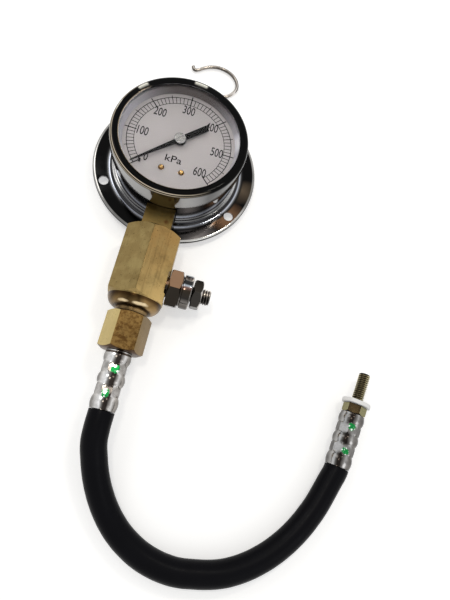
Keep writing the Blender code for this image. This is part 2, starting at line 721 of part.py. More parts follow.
def make_sector(finishes, frame):
    """Toothed sector with its hub, arbor, window and tail pin; it turns about its own axis."""
    center = sector_center()
    step = 2 * pi / SECTOR_FULL_TEETH
    pitch_point = radians(SECTOR_DIRECTION + 180)
    first = pitch_point - (SECTOR_TEETH - 2) * step
    last = first + (SECTOR_TEETH - 1) * step
    root_r = GEAR_MODULE * (SECTOR_FULL_TEETH / 2 - 1.1)
    tail = radians(SECTOR_TAIL_ANGLE)
    outline = [(root_r * cos(first - step / 2), root_r * sin(first - step / 2))]
    outline += gear_teeth(SECTOR_FULL_TEETH, first, SECTOR_TEETH)
    outline += [(root_r * cos(last + step / 2), root_r * sin(last + step / 2))]
    hub_start = (last + 0.6) * 180 / pi
    hub_end = SECTOR_TAIL_ANGLE + 360 - TAIL_ROOT_ANGLE
    outline += arc((0, 0), SECTOR_HUB_R, hub_start, hub_end, 4)
    tail_spot = (SECTOR_TAIL_R * cos(tail), SECTOR_TAIL_R * sin(tail))
    outline += arc(tail_spot, TAIL_HALF_WIDTH, SECTOR_TAIL_ANGLE - 90, SECTOR_TAIL_ANGLE + 90, 6)
    outline += arc((0, 0), SECTOR_HUB_R, SECTOR_TAIL_ANGLE + TAIL_ROOT_ANGLE, (first - 0.6) * 180 / pi, 3)
    top = SECTOR_Z + SECTOR_THICKNESS
    sector = prism("sector_gear", outline, SECTOR_Z, top, finishes["brass"], frame, location=center)
    bottom = BACK_PLATE_Z + 0.1
    shoulder = BACK_PLATE_Z + PLATE_THICKNESS + GAP
    end = FRONT_PLATE_Z + PLATE_THICKNESS - 0.1
    outline = [(0, bottom), (PIVOT_R, bottom), (PIVOT_R, shoulder), (ARBOR_R, shoulder),
               (ARBOR_R, FRONT_PLATE_Z - GAP), (PIVOT_R, FRONT_PLATE_Z - GAP), (PIVOT_R, end), (0, end)]
    combine(sector, turned("sector_arbor", outline, None, frame, COARSE_SIDES, location=center), "UNION")
    combine(sector, turned("tail_post", rod_outline(LINK_PIN_R, SECTOR_Z + 0.2, pin_top()), None, frame,
                           COARSE_SIDES, location=tail_pin()), "UNION")
    low_angle = first * 180 / pi + 6
    high_angle = last * 180 / pi - 6
    window = arc((0, 0), root_r - 2.0, low_angle, high_angle, 5) + arc((0, 0), 5.5, high_angle, low_angle, 2)
    combine(sector, prism("sector_window", window, SECTOR_Z - 1, top + 1, None, frame, location=center))


def make_link(finishes, frame):
    """Flat link between the sector's tail and the tube's tip."""
    low = link_bottom()
    high = low + LINK_THICKNESS
    pin = tail_pin()
    reach = tip_pin() - pin
    turn = (0, 0, atan2(reach.y, reach.x))
    opening = 180 - LINK_NECK_ANGLE
    outline = arc((0, 0), LINK_EYE_R, LINK_NECK_ANGLE, 360 - LINK_NECK_ANGLE, 10)
    outline += arc((reach.length, 0), LINK_EYE_R, -opening, opening, 10)
    link = prism("link", outline, low, high, finishes["steel"], frame, location=pin, rotation=turn)
    bore = LINK_PIN_R + PIVOT_GAP
    drill(link, "link_hole", bore, low - 1, high + 1, frame, location=pin, rotation=turn)
    drill(link, "link_far_hole", bore + LINK_PLAY, low - 1, high + 1, frame, location=tip_pin(),
          rotation=turn)


def make_spring(finishes, frame):
    """Flat spiral from the collet to the upper pillar."""
    start_r = COLLET_R + GAP
    x, y = PILLARS["pillar_upper"]
    end_angle = atan2(y, x)
    steps = SPRING_TURNS * 10
    half = SPRING_STRIP / 2
    low = SECTOR_Z + SECTOR_THICKNESS + 0.4
    bm = bmesh.new()
    rings = []
    for i in range(steps + 1):
        share = i / steps
        angle = end_angle - 2 * pi * SPRING_TURNS * (1 - share)
        radius = start_r + half + (SPRING_OUTER_R - half - start_r - half) * share
        corners = ((radius - half, low), (radius + half, low), (radius + half, low + SPRING_HEIGHT),
                   (radius - half, low + SPRING_HEIGHT))
        rings.append([bm.verts.new((r * cos(angle), r * sin(angle), z)) for r, z in corners])
    for ring, following in zip(rings, rings[1:]):
        join_rings(bm, ring, following)
    bm.faces.new(rings[0])
    bm.faces.new(rings[-1])
    put("hairspring", bm, finishes["bronze"], frame)


def plate_outline():
    """Outline of both movement plates, clear of the dial posts and of the tube's tip."""
    left = -7.0
    top = 6.8
    post_side = DIAL_SCREW_X + DIAL_POST_R + GAP
    waist = DIAL_SCREW_Y + DIAL_POST_R + GAP + 0.3
    center = sector_center()
    right = center.x + 3.1
    low = PILLARS["pillar_lower"][1] - 2.6
    return [(left, waist), (post_side, waist), (post_side, low), (PILLARS["pillar_lower"][0] + 2.5, low),
            (right, center.y - 3.0), (right, center.y + 6.0), (3.4, top), (left, top)]


def make_movement_frame(finishes, frame):
    """Two plates on pillars, screwed to the stem's block."""
    center = sector_center()
    for name, low in (("back_plate", BACK_PLATE_Z), ("front_plate", FRONT_PLATE_Z)):
        high = low + PLATE_THICKNESS
        plate = prism(name, plate_outline(), low, high, finishes["brass"], frame)
        arbor_bore = (SHAFT_R if name == "front_plate" else PIVOT_R) + PIVOT_GAP
        drill(plate, f"{name}_pinion_hole", arbor_bore, low - 1, high + 1, frame)
        drill(plate, f"{name}_sector_hole", PIVOT_R + PIVOT_GAP, low - 1, high + 1, frame, location=center)
        for pillar, (x, y) in PILLARS.items():
            drill(plate, f"{name}_{pillar}_hole", PILLAR_SPIGOT_R + GAP, low - 1, high + 1, frame,
                  location=(x, y, 0))
        for side, hand in ((-1, "left"), (1, "right")):
            radius = MOVEMENT_SCREW_R + GAP
            if name == "front_plate":
                radius = MOVEMENT_SCREW_HEAD_R + GAP
            drill(plate, f"{name}_screw_hole_{hand}", radius, low - 1, high + 1, frame,
                  location=(side * MOVEMENT_SCREW_X, MOVEMENT_SCREW_Y, 0))
    low = BACK_PLATE_Z + PLATE_THICKNESS + GAP
    high = FRONT_PLATE_Z - GAP
    for pillar, (x, y) in PILLARS.items():
        start = BACK_PLATE_Z + 0.1
        end = FRONT_PLATE_Z + PLATE_THICKNESS - 0.1
        outline = [(0, start), (PILLAR_SPIGOT_R, start), (PILLAR_SPIGOT_R, low), (PILLAR_R, low),
                   (PILLAR_R, high), (PILLAR_SPIGOT_R, high), (PILLAR_SPIGOT_R, end), (0, end)]
        turned(pillar, outline, finishes["brass"], frame, COARSE_SIDES, location=(x, y, 0))
    tip = BACK_PLATE_Z - MOVEMENT_SCREW_DEPTH
    for side, hand in ((-1, "left"), (1, "right")):
        outline = [(0, tip), (MOVEMENT_SCREW_R, tip), (MOVEMENT_SCREW_R, low), (MOVEMENT_SCREW_HEAD_R, low),
                   (MOVEMENT_SCREW_HEAD_R, low + MOVEMENT_SCREW_HEAD), (0, low + MOVEMENT_SCREW_HEAD)]
        turned(f"movement_screw_{hand}", outline, finishes["steel"], frame, COARSE_SIDES,
               location=(side * MOVEMENT_SCREW_X, MOVEMENT_SCREW_Y, 0))


def make_coupling(finishes, stem):
    """Long hexagon with chamfered ends and a turned shoulder, bored for stem, valve and adapter."""
    corner = coupling_corner_r() + 0.5
    chamfer = coupling_chamfer_length()
    start, hex_end, end = COUPLING_START, COUPLING_HEX_END, COUPLING_END
    coupling = prism("coupling", polygon(6, COUPLING_FLATS, 90), start - 1, end + 1, finishes["brass"], stem)
    shoulder_r = COUPLING_CHAMFER_R - 0.3
    outline = [(0, start), (COUPLING_CHAMFER_R, start), (corner, start + chamfer),
               (corner, hex_end - chamfer), (COUPLING_CHAMFER_R, hex_end), (shoulder_r, hex_end + 0.2)]
    rise = end - COUPLING_NECK - (hex_end + 0.2)
    fall = shoulder_r - COUPLING_NECK_R
    for i in range(1, 5):
        angle = pi / 2 * i / 4
        outline.append((shoulder_r - fall * (1 - cos(angle)), hex_end + 0.2 + rise * sin(angle)))
    outline += [(COUPLING_NECK_R, end), (0, end)]
    combine(coupling, turned("coupling_turning", outline, None, stem, TURNING_SIDES), "INTERSECT")
    upper_r = SPIGOT_R + GAP
    lower_r = ADAPTER_SPIGOT_R + GAP
    upper_end = start + COUPLING_SOCKET_DEPTH
    lower_start = end - COUPLING_LOWER_DEPTH
    bores = [(0, start - 1), (upper_r, start - 1), (upper_r, upper_end), (THROUGH_BORE_R, upper_end),
             (THROUGH_BORE_R, lower_start), (lower_r, lower_start), (lower_r, end + 1), (0, end + 1)]
    combine(coupling, turned("coupling_bores", bores, None, stem, MEDIUM_SIDES))
    side = COUPLING_FLATS / 2
    port_r = VALVE_NECK_R + GAP
    port_end = VALVE_HEX_START - VALVE_NECK_LENGTH - GAP
    floor = side - VALVE_SPOT_DEPTH
    port = [(0, 0.1), (VALVE_SEAT_R, 0.1), (VALVE_SEAT_R, port_end), (port_r, port_end), (port_r, floor),
            (VALVE_SPOT_R, floor), (VALVE_SPOT_R, side + 5), (0, side + 5)]
    combine(coupling, turned("valve_port", port, None, stem, MEDIUM_SIDES,
                             location=(0, 0, VALVE_S), rotation=(0, pi / 2, 0)))


def make_valve(finishes, stem):
    """Valve body with its ball, and the screw with its nut; all share the valve's axis."""
    axis = frame_empty("valve_axis", stem, (0, 0, VALVE_S), (0, pi / 2, 0))
    start = VALVE_HEX_START
    hex_end = start + VALVE_HEX_LENGTH
    end = hex_end + VALVE_COLLAR_LENGTH
    neck = start - VALVE_NECK_LENGTH
    hexagon = polygon(6, VALVE_HEX_FLATS, 90 + VALVE_HEX_TURN)
    body = prism("bleed_valve_body", hexagon, start - 1, hex_end + 1, finishes["nickel"], axis)
    corner = VALVE_HEX_FLATS / sqrt(3) + 0.3
    rim = VALVE_HEX_FLATS / 2 - 0.1
    trim = [(0, start), (rim, start), (corner, start + 1.1), (corner, hex_end - 0.9), (rim, hex_end),
            (0, hex_end)]
    combine(body, turned("valve_hex_turning", trim, None, axis, MEDIUM_SIDES), "INTERSECT")
    outline = [(0, hex_end - 1), (VALVE_COLLAR_R, hex_end - 1), (VALVE_COLLAR_R, end - 0.9),
               (VALVE_COLLAR_R - 0.9, end), (0, end)]
    combine(body, turned("valve_collar", outline, None, axis, MEDIUM_SIDES), "UNION")
    neck_rod = rod_outline(VALVE_NECK_R, neck, start + 1)
    combine(body, turned("valve_neck", neck_rod, None, axis, MEDIUM_SIDES), "UNION")
    ball_x = neck + 3.6
    bore = BLEED_STUD_R + GAP
    drill(body, "valve_seat_bore", VALVE_SEAT_R, neck - 1, ball_x, axis)
    seat_depth = 1.41 * (VALVE_BALL_R + GAP)
    cone = [(0, ball_x - seat_depth), (bore, ball_x - seat_depth + bore), (bore, end + 1), (0, end + 1)]
    combine(body, turned("valve_thread_bore", cone, None, axis, MEDIUM_SIDES))
    ball_outline = [(0, ball_x - VALVE_BALL_R)] + arc((0, ball_x), VALVE_BALL_R, -75, 75, 8)
    ball_outline += [(0, ball_x + VALVE_BALL_R)]
    turned("valve_ball", ball_outline, finishes["steel"], axis, COARSE_SIDES)
    stud_start = ball_x + VALVE_BALL_R + GAP
    stud = turned("bleed_screw", [(0, stud_start), (BLEED_STUD_R - 1.2, stud_start),
                                  (BLEED_STUD_R, stud_start + 1.2), (BLEED_STUD_R, BLEED_STUD_END - 0.7),
                                  (BLEED_STUD_R - 0.7, BLEED_STUD_END), (0, BLEED_STUD_END)],
                  finishes["steel"], axis, MEDIUM_SIDES)
    drill(stud, "bleed_passage", 1.2, stud_start + 3, BLEED_STUD_END + 1, axis)
    drill(stud, "bleed_cross_hole", 0.8, -BLEED_STUD_R - 1, BLEED_STUD_R + 1, axis,
          location=(0, 0, stud_start + 4.2), rotation=(pi / 2, 0, 0))
    nut_start = end + 2 * GAP
    nut_end = nut_start + NUT_THICKNESS
    nut = prism("lock_nut", polygon(6, NUT_FLATS, 90 + NUT_TURN), nut_start - 1, nut_end + 1,
                finishes["nickel"], axis)
    corner = NUT_FLATS / sqrt(3) + 0.3
    rim = NUT_FLATS / 2 - 0.1
    trim = [(0, nut_start), (rim, nut_start), (corner, nut_start + 1.0), (corner, nut_end - 1.0),
            (rim, nut_end), (0, nut_end)]
    combine(nut, turned("nut_turning", trim, None, axis, MEDIUM_SIDES), "INTERSECT")
    drill(nut, "nut_bore", BLEED_STUD_R + GAP, nut_start - 1, nut_end + 1, axis, MEDIUM_SIDES)


def barb_outline(start, length):
    """Section of a hose barb from its root outwards, without its bore."""
    points = []
    pitch = (length - 1) / BARB_RIDGES
    for i in range(BARB_RIDGES):
        low = start + pitch * i
        points += [(BARB_ROOT_R, low), (BARB_CREST_R, low + 0.2), (BARB_ROOT_R, low + pitch - 0.3)]
    points += [(BARB_ROOT_R, start + length), (BARB_BORE_R, start + length)]
    return points


def ferrule_start():
    """Where the near ferrule begins along the stem's axis."""
    return ADAPTER_START + ADAPTER_HEX_LENGTH + GAP


def make_adapter(finishes, stem):
    """Lower hexagon with the spigot into the coupling and the hose barb."""
    start = ADAPTER_START
    end = start + ADAPTER_HEX_LENGTH
    adapter = prism("hose_adapter", polygon(6, ADAPTER_FLATS, 60 - ADAPTER_TURN), start - 1, end + 1,
                    finishes["brass"], stem)
    corner = ADAPTER_FLATS / sqrt(3) + 0.3
    rim = ADAPTER_FLATS / 2 - 0.1
    trim = [(0, start), (rim, start), (corner, start + 0.9), (corner, end - 1.3), (rim - 0.3, end), (0, end)]
    combine(adapter, turned("adapter_turning", trim, None, stem, MEDIUM_SIDES), "INTERSECT")
    spigot_start = start - ADAPTER_SPIGOT_LENGTH
    combine(adapter, turned("adapter_spigot", rod_outline(ADAPTER_SPIGOT_R, spigot_start, start + 1),
                            None, stem, MEDIUM_SIDES), "UNION")
    barb = [(0, end - 1), (BARB_ROOT_R, end - 1)] + barb_outline(end + 0.4, FERRULE_LENGTH - 2)
    barb += [(0, end + FERRULE_LENGTH - 1.6)]
    combine(adapter, turned("adapter_barb", barb, None, stem, COARSE_SIDES), "UNION")
    drill(adapter, "adapter_bore", BARB_BORE_R, spigot_start - 1, end + FERRULE_LENGTH, stem)


def ferrule_stations():
    """Places along the ferrule with their radius and whether they have flats: three bulges, two waists."""
    edges = (0.0, 0.2, 0.39, 0.58, 0.77, 1.0)
    stations = []
    for low, high in zip(edges[::2], edges[1::2]):
        for share in (0.0, 0.14, 0.5, 0.86, 1.0):
            place = low + (high - low) * share
            at_edge = share in (0.0, 1.0)
            radius = FERRULE_WAIST_R if at_edge else FERRULE_R - 0.12 * (share != 0.5)
            stations.append((place, radius, at_edge and 0.0 < place < 1.0))
    return stations


def ferrule_mesh(start, sides=16):
    """Crimped sleeve: the bulges are round and the waists have flats."""
    bm = bmesh.new()
    rings = []
    for share, radius, flat in ferrule_stations():
        ring = []
        for k in range(sides):
            angle = 2 * pi * k / sides
            local = radius
            if flat:
                off = (angle + pi / FERRULE_FLATS) % (2 * pi / FERRULE_FLATS) - pi / FERRULE_FLATS
                local = (radius - 0.1) / cos(off)
            height = start + FERRULE_LENGTH * share
            ring.append(bm.verts.new((local * cos(angle), local * sin(angle), height)))
        rings.append(ring)
    for radius, depth in ((FERRULE_MOUTH_R, FERRULE_LENGTH), (FERRULE_BORE_R, FERRULE_LENGTH - 0.8),
                          (FERRULE_BORE_R, 0.0)):
        rings.append([bm.verts.new((radius * cos(2 * pi * k / sides), radius * sin(2 * pi * k / sides),
                                    start + depth)) for k in range(sides)])
    rings.append(rings[0])
    for ring, following in zip(rings, rings[1:]):
        join_rings(bm, ring, following)
    return bm


def make_hose_joint(name, finishes, axis, start):
    """A ferrule crimped over the hose's end, which it holds on a barb."""
    put(f"{name}_ferrule", ferrule_mesh(start), finishes["nickel"], axis)
    outline = ring_outline(HOSE_END_BORE_R, FERRULE_BORE_R - GAP, start + 0.2, start + FERRULE_LENGTH - GAP)
    turned(f"hose_end_{name}", outline, finishes["rubber"], axis, COARSE_SIDES)


def washer_start():
    """Where the washer begins along the far fitting's axis."""
    return GAP + FERRULE_LENGTH + GAP + FAR_HEX_LENGTH + GAP


def far_end_line():
    """The hose's far end, its heading and its rise: ferrule mouth and washer rim touch the table."""
    x, y = HOSE_FAR_END
    height = FERRULE_R + 0.05
    rise = asin((WASHER_R - height) / washer_start())
    return Vector((x, y, height)), radians(FAR_HEADING), rise


def make_far_end(finishes):
    """The far ferrule on the table, with the fitting's hexagon, washer and stud beyond it."""
    end_point, heading, rise = far_end_line()
    start = GAP
    end = start + FERRULE_LENGTH
    axis = frame_empty("far_axis", None, end_point, (rise - pi / 2, 0, -heading))
    flipped = frame_empty("far_joint", axis, (0, 0, start + end), (pi, 0, 0))
    make_hose_joint("far", finishes, flipped, start)
    hex_start = end + GAP
    hex_end = hex_start + FAR_HEX_LENGTH
    fitting = prism("far_fitting", polygon(6, FAR_HEX_FLATS, 0), hex_start - 1, hex_end + 1,
                    finishes["zinc_yellow"], axis)
    corner = FAR_HEX_FLATS / sqrt(3) + 0.3
    rim = FAR_HEX_FLATS / 2 - 0.1
    trim = [(0, hex_start), (rim, hex_start), (corner, hex_start + 0.8), (corner, hex_end), (0, hex_end)]
    combine(fitting, turned("far_hex_turning", trim, None, axis, MEDIUM_SIDES), "INTERSECT")
    stud_end = hex_end + GAP + FAR_STUD_LENGTH
    outline = [(0, hex_end - 1), (FAR_STUD_R, hex_end - 1), (FAR_STUD_R, stud_end - 1.2),
               (FAR_STUD_R - 0.8, stud_end - 0.2), (FAR_STUD_R - 1.6, stud_end), (0, stud_end)]
    combine(fitting, turned("far_stud", outline, None, axis, COARSE_SIDES), "UNION")
    barb = barb_outline(0.4, FERRULE_LENGTH - 2)
    section = [(0, hex_start + 1), (BARB_ROOT_R, hex_start + 1)]
    section += [(r, hex_start - z) for r, z in barb] + [(0, hex_start - FERRULE_LENGTH + 1.6)]
    combine(fitting, turned("far_barb", section, None, axis, COARSE_SIDES), "UNION")
    drill(fitting, "far_bore", FAR_BORE_R, start, stud_end + 1, axis)
    low = washer_start()
    outline = [(FAR_STUD_R + GAP, low), (WASHER_R - 0.25, low), (WASHER_R, low + 0.3),
               (WASHER_R, low + WASHER_THICKNESS - 0.3), (WASHER_R - 0.25, low + WASHER_THICKNESS),
               (FAR_STUD_R + GAP, low + WASHER_THICKNESS)]
    turned("seal_washer", outline, finishes["nylon"], axis, MEDIUM_SIDES)


def smooth_path(points, count):
    """Evenly spaced points on a Catmull-Rom curve through the given points."""
    padded = [2 * points[0] - points[1]] + points + [2 * points[-1] - points[-2]]
    dense = []
    for p0, p1, p2, p3 in zip(padded, padded[1:], padded[2:], padded[3:]):
        for i in range(20):
            t = i / 20
            dense.append(0.5 * (2 * p1 + (p2 - p0) * t + (2 * p0 - 5 * p1 + 4 * p2 - p3) * t * t
                                + (3 * p1 - p0 - 3 * p2 + p3) * t ** 3))
    dense.append(points[-1])
    lengths = [0.0]
    for a, b in zip(dense, dense[1:]):
        lengths.append(lengths[-1] + (b - a).length)
    result = []
    k = 0
    for i in range(count):
        target = lengths[-1] * i / (count - 1)
        while k < len(dense) - 2 and lengths[k + 1] < target:
            k += 1
        span = lengths[k + 1] - lengths[k]
        result.append(dense[k].lerp(dense[k + 1], (target - lengths[k]) / span))
    return result


def tube_along(name, points, radius, resolution, material, parent=None, **place):
    """A round tube on a curve object, with a point at each of points."""
    curve = bpy.data.curves.new(name, "CURVE")
    curve.dimensions = "3D"
    curve.bevel_depth = radius * MM
    curve.bevel_resolution = resolution
    curve.use_fill_caps = True
    spline = curve.splines.new("POLY")
    spline.points.add(len(points) - 1)
    for target, point in zip(spline.points, points):
        target.co = (*(Vector(point) * MM), 1.0)
    curve.materials.append(material)
    obj = bpy.data.objects.new(name, curve)
    bpy.context.collection.objects.link(obj)
    obj.parent = parent
    obj.location = Vector(place.get("location", (0, 0, 0))) * MM
    obj.rotation_euler = place.get("rotation", (0, 0, 0))
    return obj


def make_hose(finishes, stem):
    """Free hose from the near ferrule's mouth, down onto the table and round to the far ferrule."""
    bpy.context.view_layer.update()
    to_table = stem.matrix_world
    start = ferrule_start() + FERRULE_LENGTH + GAP
    mouth = to_table @ (Vector((0, 0, start)) * MM) / MM
    ahead = to_table @ (Vector((0, 0, start + HOSE_END_STRAIGHT)) * MM) / MM
    end, heading, rise = far_end_line()
    forward = Vector((sin(heading) * cos(rise), cos(heading) * cos(rise), sin(rise)))
    before = end - forward * HOSE_END_STRAIGHT
    route = [ahead] + [Vector(p) for p in HOSE_ROUTE] + [before]
    path = [mouth] + smooth_path(route, HOSE_POINT_COUNT) + [end]
    tube_along("hose", path, HOSE_R, 3, finishes["rubber"])


def make_hook(finishes, frame, tilt):
    """Wire hook: an upright eye through the flange's hole and round its rim, then a flat open hook."""
    eye = [Vector((0, EYE_R * cos(radians(a)), EYE_R * sin(radians(a))))
           for a in (-90 + EYE_OPENING + (360 - EYE_OPENING) * i / 14 for i in range(15))]
    flat = [Vector((x, y, -EYE_R)) for x, y in HOOK_ROUTE]
    path = eye + smooth_path([eye[-1]] + flat, 24)[1:]
    tube_along("hook", path, WIRE_R, 1, finishes["nickel"], frame, location=eye_center(),
               rotation=(tilt, 0, 0))


def main():
    clear_scene()
    finishes = make_finishes()
    frame, tilt = resting_frame()
    make_case(finishes["chrome"], frame)
    make_flange(finishes["chrome"], frame)
    make_bezel(finishes["chrome"], frame)
    make_glazing(finishes, frame)
    make_dial(finishes, frame)
    make_pointer(finishes, frame)
    stem = make_socket(finishes, frame)
    make_tube(finishes, frame)
    make_tube_tip(finishes, frame)
    make_pinion(finishes, frame)
    make_sector(finishes, frame)
    make_link(finishes, frame)
    make_spring(finishes, frame)
    make_movement_frame(finishes, frame)
    make_coupling(finishes, stem)
    make_valve(finishes, stem)
    make_adapter(finishes, stem)
    make_hose_joint("near", finishes, stem, ferrule_start())
    make_far_end(finishes)
    make_hose(finishes, stem)
    make_hook(finishes, frame, tilt)


main()
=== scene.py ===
"""Looks of the fuel pressure gauge set, laid out as a Blender add-on.

Outlines are in millimetres. The gauge has its own frame, with the pointer's axis as Z and the back face at
Z = 0; the stem's frame runs down the fittings, and the valve's and the far end's frames run along them.
Finishes work in metres in the world, and their colours are linear.
"""

import json
from math import asin, atan2, ceil, cos, pi, radians, sin, sqrt, tan

import bmesh
import bpy
from mathutils import Euler, Matrix, Vector, noise


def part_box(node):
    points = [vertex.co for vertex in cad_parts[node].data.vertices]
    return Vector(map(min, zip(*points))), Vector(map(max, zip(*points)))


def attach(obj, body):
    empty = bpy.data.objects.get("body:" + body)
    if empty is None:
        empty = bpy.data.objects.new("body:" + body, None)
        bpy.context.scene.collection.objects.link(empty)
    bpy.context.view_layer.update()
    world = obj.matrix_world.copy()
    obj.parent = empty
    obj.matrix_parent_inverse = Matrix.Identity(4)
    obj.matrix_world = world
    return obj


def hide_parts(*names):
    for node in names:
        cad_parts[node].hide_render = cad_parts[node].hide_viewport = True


bl_info = {
    "name": "Fuel pressure gauge set",
    "version": (1, 0, 0),
    "blender": (4, 5, 0),
    "location": "3D View > Sidebar > Gauge",
    "description": "Builds the visible pieces and finishes of a fuel pressure gauge set round its CAD frame",
    "category": "Object",
}

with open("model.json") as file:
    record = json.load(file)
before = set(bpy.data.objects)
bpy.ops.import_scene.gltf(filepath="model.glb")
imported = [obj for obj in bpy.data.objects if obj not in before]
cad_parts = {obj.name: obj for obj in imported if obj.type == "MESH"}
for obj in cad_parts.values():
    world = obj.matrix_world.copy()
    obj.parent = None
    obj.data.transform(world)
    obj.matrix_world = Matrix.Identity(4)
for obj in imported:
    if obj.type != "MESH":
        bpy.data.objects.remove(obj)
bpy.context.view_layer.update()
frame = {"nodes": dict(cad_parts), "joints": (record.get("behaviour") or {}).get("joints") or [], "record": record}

MM = 0.001
GAP = 0.3
POINTER_HEIGHT = 24.9  # the pointer's joint over the case's back
STEM_HEIGHT = 10.0  # the stem's axis over the case's back
VALVE_DOWN = 68.2  # the bleed valve's axis, down the stem from the dial's centre
FERRULE_DOWN = 103.6  # the near ferrule's upper end, down the stem
JOINTS = {joint["name"]: joint for joint in frame["joints"]}


def gauge_matrix():
    """The gauge's frame in the world, from the pointer's joint."""
    up = -Vector(JOINTS["pointer_turn"]["axis"]).normalized()
    side = Vector((1, 0, 0))
    origin = Vector(JOINTS["pointer_turn"]["pos_m"]) - up * POINTER_HEIGHT * MM
    turn = Matrix((side, up.cross(side), up)).transposed().to_4x4()
    return Matrix.Translation(origin) @ turn @ Matrix.Scale(MM, 4)


GAUGE = gauge_matrix()
STEM = GAUGE @ Matrix.Translation((0, 0, STEM_HEIGHT)) @ Matrix.Rotation(pi / 2, 4, "X")
SIDEWAYS = Matrix.Translation((0, 0, VALVE_DOWN)) @ Matrix.Rotation(pi / 2, 4, "Y")
VALVE = STEM @ SIDEWAYS
WORLD = Matrix.Scale(MM, 4)

# Hose centreline on the table, in world millimetres, between the near ferrule and the far one
HOSE_ROUTE = [(0.3, -114.0, 15.0), (2.4, -121.7, 12.9), (6.1, -130.8, 10.0), (12.3, -140.7, 7.4),
              (20.5, -149.0, 6.2), (30.4, -155.0, 5.8), (39.8, -158.0, 5.8), (48.7, -159.0, 5.8),
              (57.1, -158.2, 5.8), (65.9, -156.6, 5.8), (75.4, -152.7, 5.8), (84.6, -146.6, 5.8),
              (92.6, -139.0, 5.8), (99.1, -130.5, 5.8), (104.6, -120.6, 5.9), (108.4, -111.1, 6.0)]
HOSE_FAR_END = Vector((111.5, -102.2, 6.2))
FAR_HEADING = radians(8.8)
FAR_RISE = asin((7.1 - 6.2) / 30.7)
FAR = WORLD @ Matrix.Translation(HOSE_FAR_END) @ Euler((FAR_RISE - pi / 2, 0, -FAR_HEADING)).to_matrix().to_4x4()

# Hook's flat part, in millimetres from its eye
HOOK_ROUTE = [(0.3, 4.8), (3.5, 8.8), (9.0, 11.8), (15.2, 14.6), (19.0, 18.7), (20.1, 23.1), (18.2, 27.9),
              (13.6, 31.4), (7.6, 32.5), (2.3, 31.2), (-1.7, 28.7), (-4.5, 26.4), (-6.2, 26.1), (-7.5, 27.9)]


def length(name, description, default):
    """A length property in metres."""
    return bpy.props.FloatProperty(name=name, description=description, default=default, unit="LENGTH")


def colour(name, description, default):
    """A colour property."""
    return bpy.props.FloatVectorProperty(name=name, description=description, default=default, size=3,
                                         min=0.0, max=1.0, subtype="COLOR")


class GaugeSizes(bpy.types.PropertyGroup):
    """Sizes of the gauge itself."""

    case_radius: length("Case radius", "Outer radius of the pressed case", 0.032)
    case_wall: length("Case wall", "Sheet of the case", 0.0008)
    case_top: length("Case height", "Height of the case's rim over its back", 0.0276)
    flange_radius: length("Flange radius", "Outer radius of the mounting flange", 0.0429)
    flange_hole_circle: length("Hole circle", "Radius of the circle of the flange's holes", 0.0383)
    flange_hole: length("Hole radius", "Radius of a hole in the flange", 0.00245)
    bezel_radius: length("Bezel radius", "Outer radius of the bezel", 0.033)
    bezel_top: length("Bezel height", "Height of the bezel over the case's back", 0.0314)
    bezel_mouth: length("Bezel mouth", "Radius of the bezel's opening", 0.0286)
    dial_radius: length("Dial radius", "Radius of the dial plate", 0.0306)
    dial_face: length("Dial height", "Height of the dial's face over the case's back", 0.0249)
    pointer_reach: length("Pointer reach", "Radius of the pointer's tip", 0.0266)
    pointer_tail: length("Pointer tail", "Radius of the end of the pointer's tail", 0.0155)


class FittingSizes(bpy.types.PropertyGroup):
    """Sizes of the fittings, the hose and the hook."""

    coupling_flats: length("Coupling flats", "Width across the coupling's flats", 0.0254)
    valve_flats: length("Valve flats", "Width across the bleed valve's flats", 0.017)
    nut_flats: length("Nut flats", "Width across the lock nut's flats", 0.013)
    adapter_flats: length("Adapter flats", "Width across the hose adapter's flats", 0.0181)
    ferrule_radius: length("Ferrule radius", "Radius of a ferrule's bulge", 0.00615)
    ferrule_length: length("Ferrule length", "Length of a ferrule", 0.0256)
    hose_radius: length("Hose radius", "Outer radius of the hose", 0.0057)
    wire_radius: length("Wire radius", "Radius of the hook's wire", 0.00095)
    washer_radius: length("Washer radius", "Radius of the seal washer", 0.0071)


class SetColours(bpy.types.PropertyGroup):
    """Colours of the finishes."""

    chrome: colour("Chrome", "Polished chrome plate at its sides", (0.6, 0.6, 0.61))
    # Painted dark reflection: the colour chrome gets where it faces up
    chrome_dark: colour("Dark chrome", "Chrome where it faces up", (0.006, 0.006, 0.006))
    brass: colour("Brass", "Machined brass", (0.31, 0.19, 0.07))
    yellow_zinc: colour("Yellow zinc", "Yellow passivated zinc plate", (0.235, 0.215, 0.1))
    bronze: colour("Bronze", "Drawn bronze", (0.4, 0.24, 0.11))
    dial: colour("Dial", "Enamel of the dial", (0.45, 0.42, 0.42))
    ring: colour("Ring", "Spacer ring under the glass", (0.56, 0.55, 0.6))
    ink: colour("Ink", "Print, pointer and stop pin", (0.006, 0.006, 0.006))
    rubber: colour("Rubber", "Black rubber of the hose", (0.0035, 0.0035, 0.005))
    nylon: colour("Nylon", "White nylon washer", (0.88, 0.88, 0.87))
    # Green of the dabs on the ferrules' crimp flats
    paint: colour("Paint", "Green paint dabs on the ferrules", (0.01, 0.22, 0.05))


def chosen(name):
    """A colour as it is set in the sidebar."""
    return getattr(bpy.context.scene.set_colours, name)


def grey(value, warm=0.0):
    """A grey, warmer or cooler."""
    return (value * (1 + warm), value, value * (1 - warm))


def rgba(value):
    """A colour as a socket takes it."""
    if isinstance(value, bpy.types.NodeSocket):
        return value
    return (*value, 1.0) if len(value) == 3 else value


# Node trees

GROUPS = {}
FINISHES = {}


